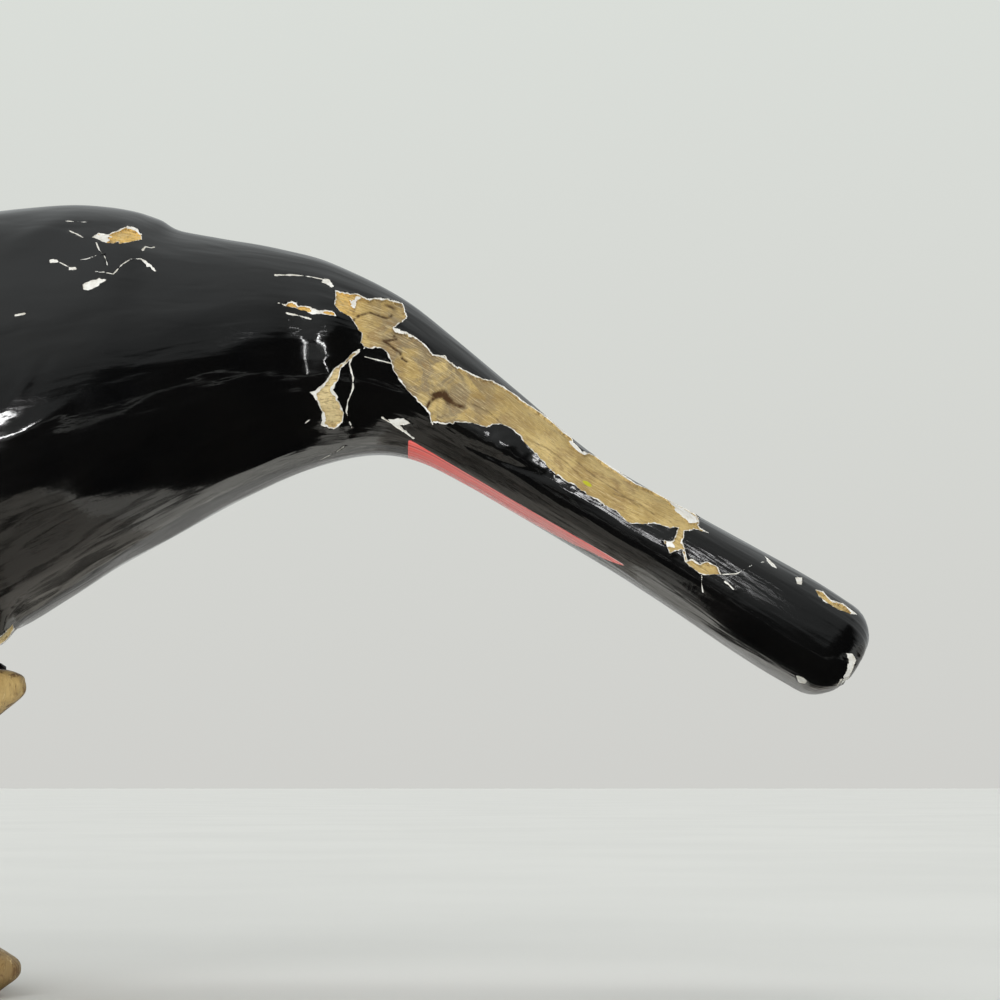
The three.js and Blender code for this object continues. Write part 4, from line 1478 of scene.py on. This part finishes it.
def make_world():
    """The backdrop that the camera sees, and the room that only the light and the gloss see."""
    world = bpy.data.worlds.new("studio")
    bpy.context.scene.world = world
    nodes = Nodes(world, "Generated")
    height = nodes.between(nodes.axis("Z"), 0, BACKDROP_RISE, "LINEAR")
    backdrop = nodes.mix(height, BACKDROP_LOW, BACKDROP_HIGH)
    rise = nodes.add("ShaderNodeVectorMath", operation="DOT_PRODUCT")
    nodes.link(nodes.place, rise.inputs[0])
    rise.inputs[1].default_value = Vector(ROOM_UP).normalized()
    stops = [((place + 1) / 2, tinted(level)) for place, level in ROOM]
    ahead = nodes.ramp(nodes.between(rise.outputs["Value"], -1, 1, "LINEAR"), *stops)
    behind = nodes.between(nodes.axis("Y"), *ROOM_TURN, "LINEAR")
    room = nodes.mix(behind, ahead, tinted(ROOM_BEHIND))
    choice = nodes.add("ShaderNodeMixShader")
    nodes.link(nodes.add("ShaderNodeLightPath").outputs["Is Camera Ray"], choice.inputs["Fac"])
    for number, colour in ((1, room), (2, backdrop)):
        background = nodes.add("ShaderNodeBackground")
        nodes.link(colour, background.inputs["Color"])
        nodes.link(background.outputs[0], choice.inputs[number])
    nodes.link(choice.outputs[0], nodes.add("ShaderNodeOutputWorld").inputs["Surface"])


def make_light(name, kind, place, target, **settings):
    """A lamp that points at a target."""
    lamp = bpy.data.lights.new(name, kind)
    for key, value in settings.items():
        setattr(lamp, key, value)
    light = add_object(name, lamp)
    light.location = place
    light.rotation_euler = (Vector(target) - Vector(place)).to_track_quat("-Z", "Y").to_euler()
    return light


def make_lights():
    for name, place, breadth, strength in SUNS:
        sun = make_light(name, "SUN", place, (0, 0, 0), angle=math.radians(breadth), energy=strength)
        sun.visible_glossy = False
    for name, (places, target, radius, beam, power) in GLINTS.items():
        for place in places:
            glint = make_light(name, "SPOT", place, target, shadow_soft_size=radius, energy=power,
                               spot_size=math.radians(beam), spot_blend=0.6)
            glint.visible_diffuse = False


def make_reflection_sheet(name, height, tone, outline):
    """A flat sheet that shows in the gloss alone, streaked light and dark, as a painted reflection."""
    nodes = Paint(name)
    # painted reflection: streaks of dark and light that only the gloss sees
    folds = nodes.noise(nodes.stretched((13, 42, 1)), 1.0, 4.0, 0.6, 0.5)
    dark, light = (tuple(share * part for part in tone) for share in (0.16, 1.4))
    colour = nodes.ramp(folds, (0.41, dark), (0.49, light))
    nodes.finish(colour, 0.9, nodes.bump(folds, 0.0005), 0.1)
    reflection_sheet = lay_flat(name, outline, height, nodes.material)
    reflection_sheet.visible_camera = reflection_sheet.visible_diffuse = reflection_sheet.visible_shadow = False


# ---- all together


def main():
    make_camera()
    make_world()
    make_lights()
    make_floor()
    for name, reflection_sheet in REFLECTION_SHEETS.items():
        make_reflection_sheet(name, *reflection_sheet)
    bpy.context.scene.view_settings.view_transform = "Standard"
    paints = [paint() for paint in PAINTS.values()]
    shell = make_bird(paints)
    feet = make_feet(paints[0])
    stump = make_stump(stump_paint())
    for piece, node, slot in ((shell, "bird", "black_paint"), (stump, "stump", "stump_paint")):
        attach(piece, BODY)
        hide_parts(node)
    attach(feet, BODY)
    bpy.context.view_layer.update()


main()
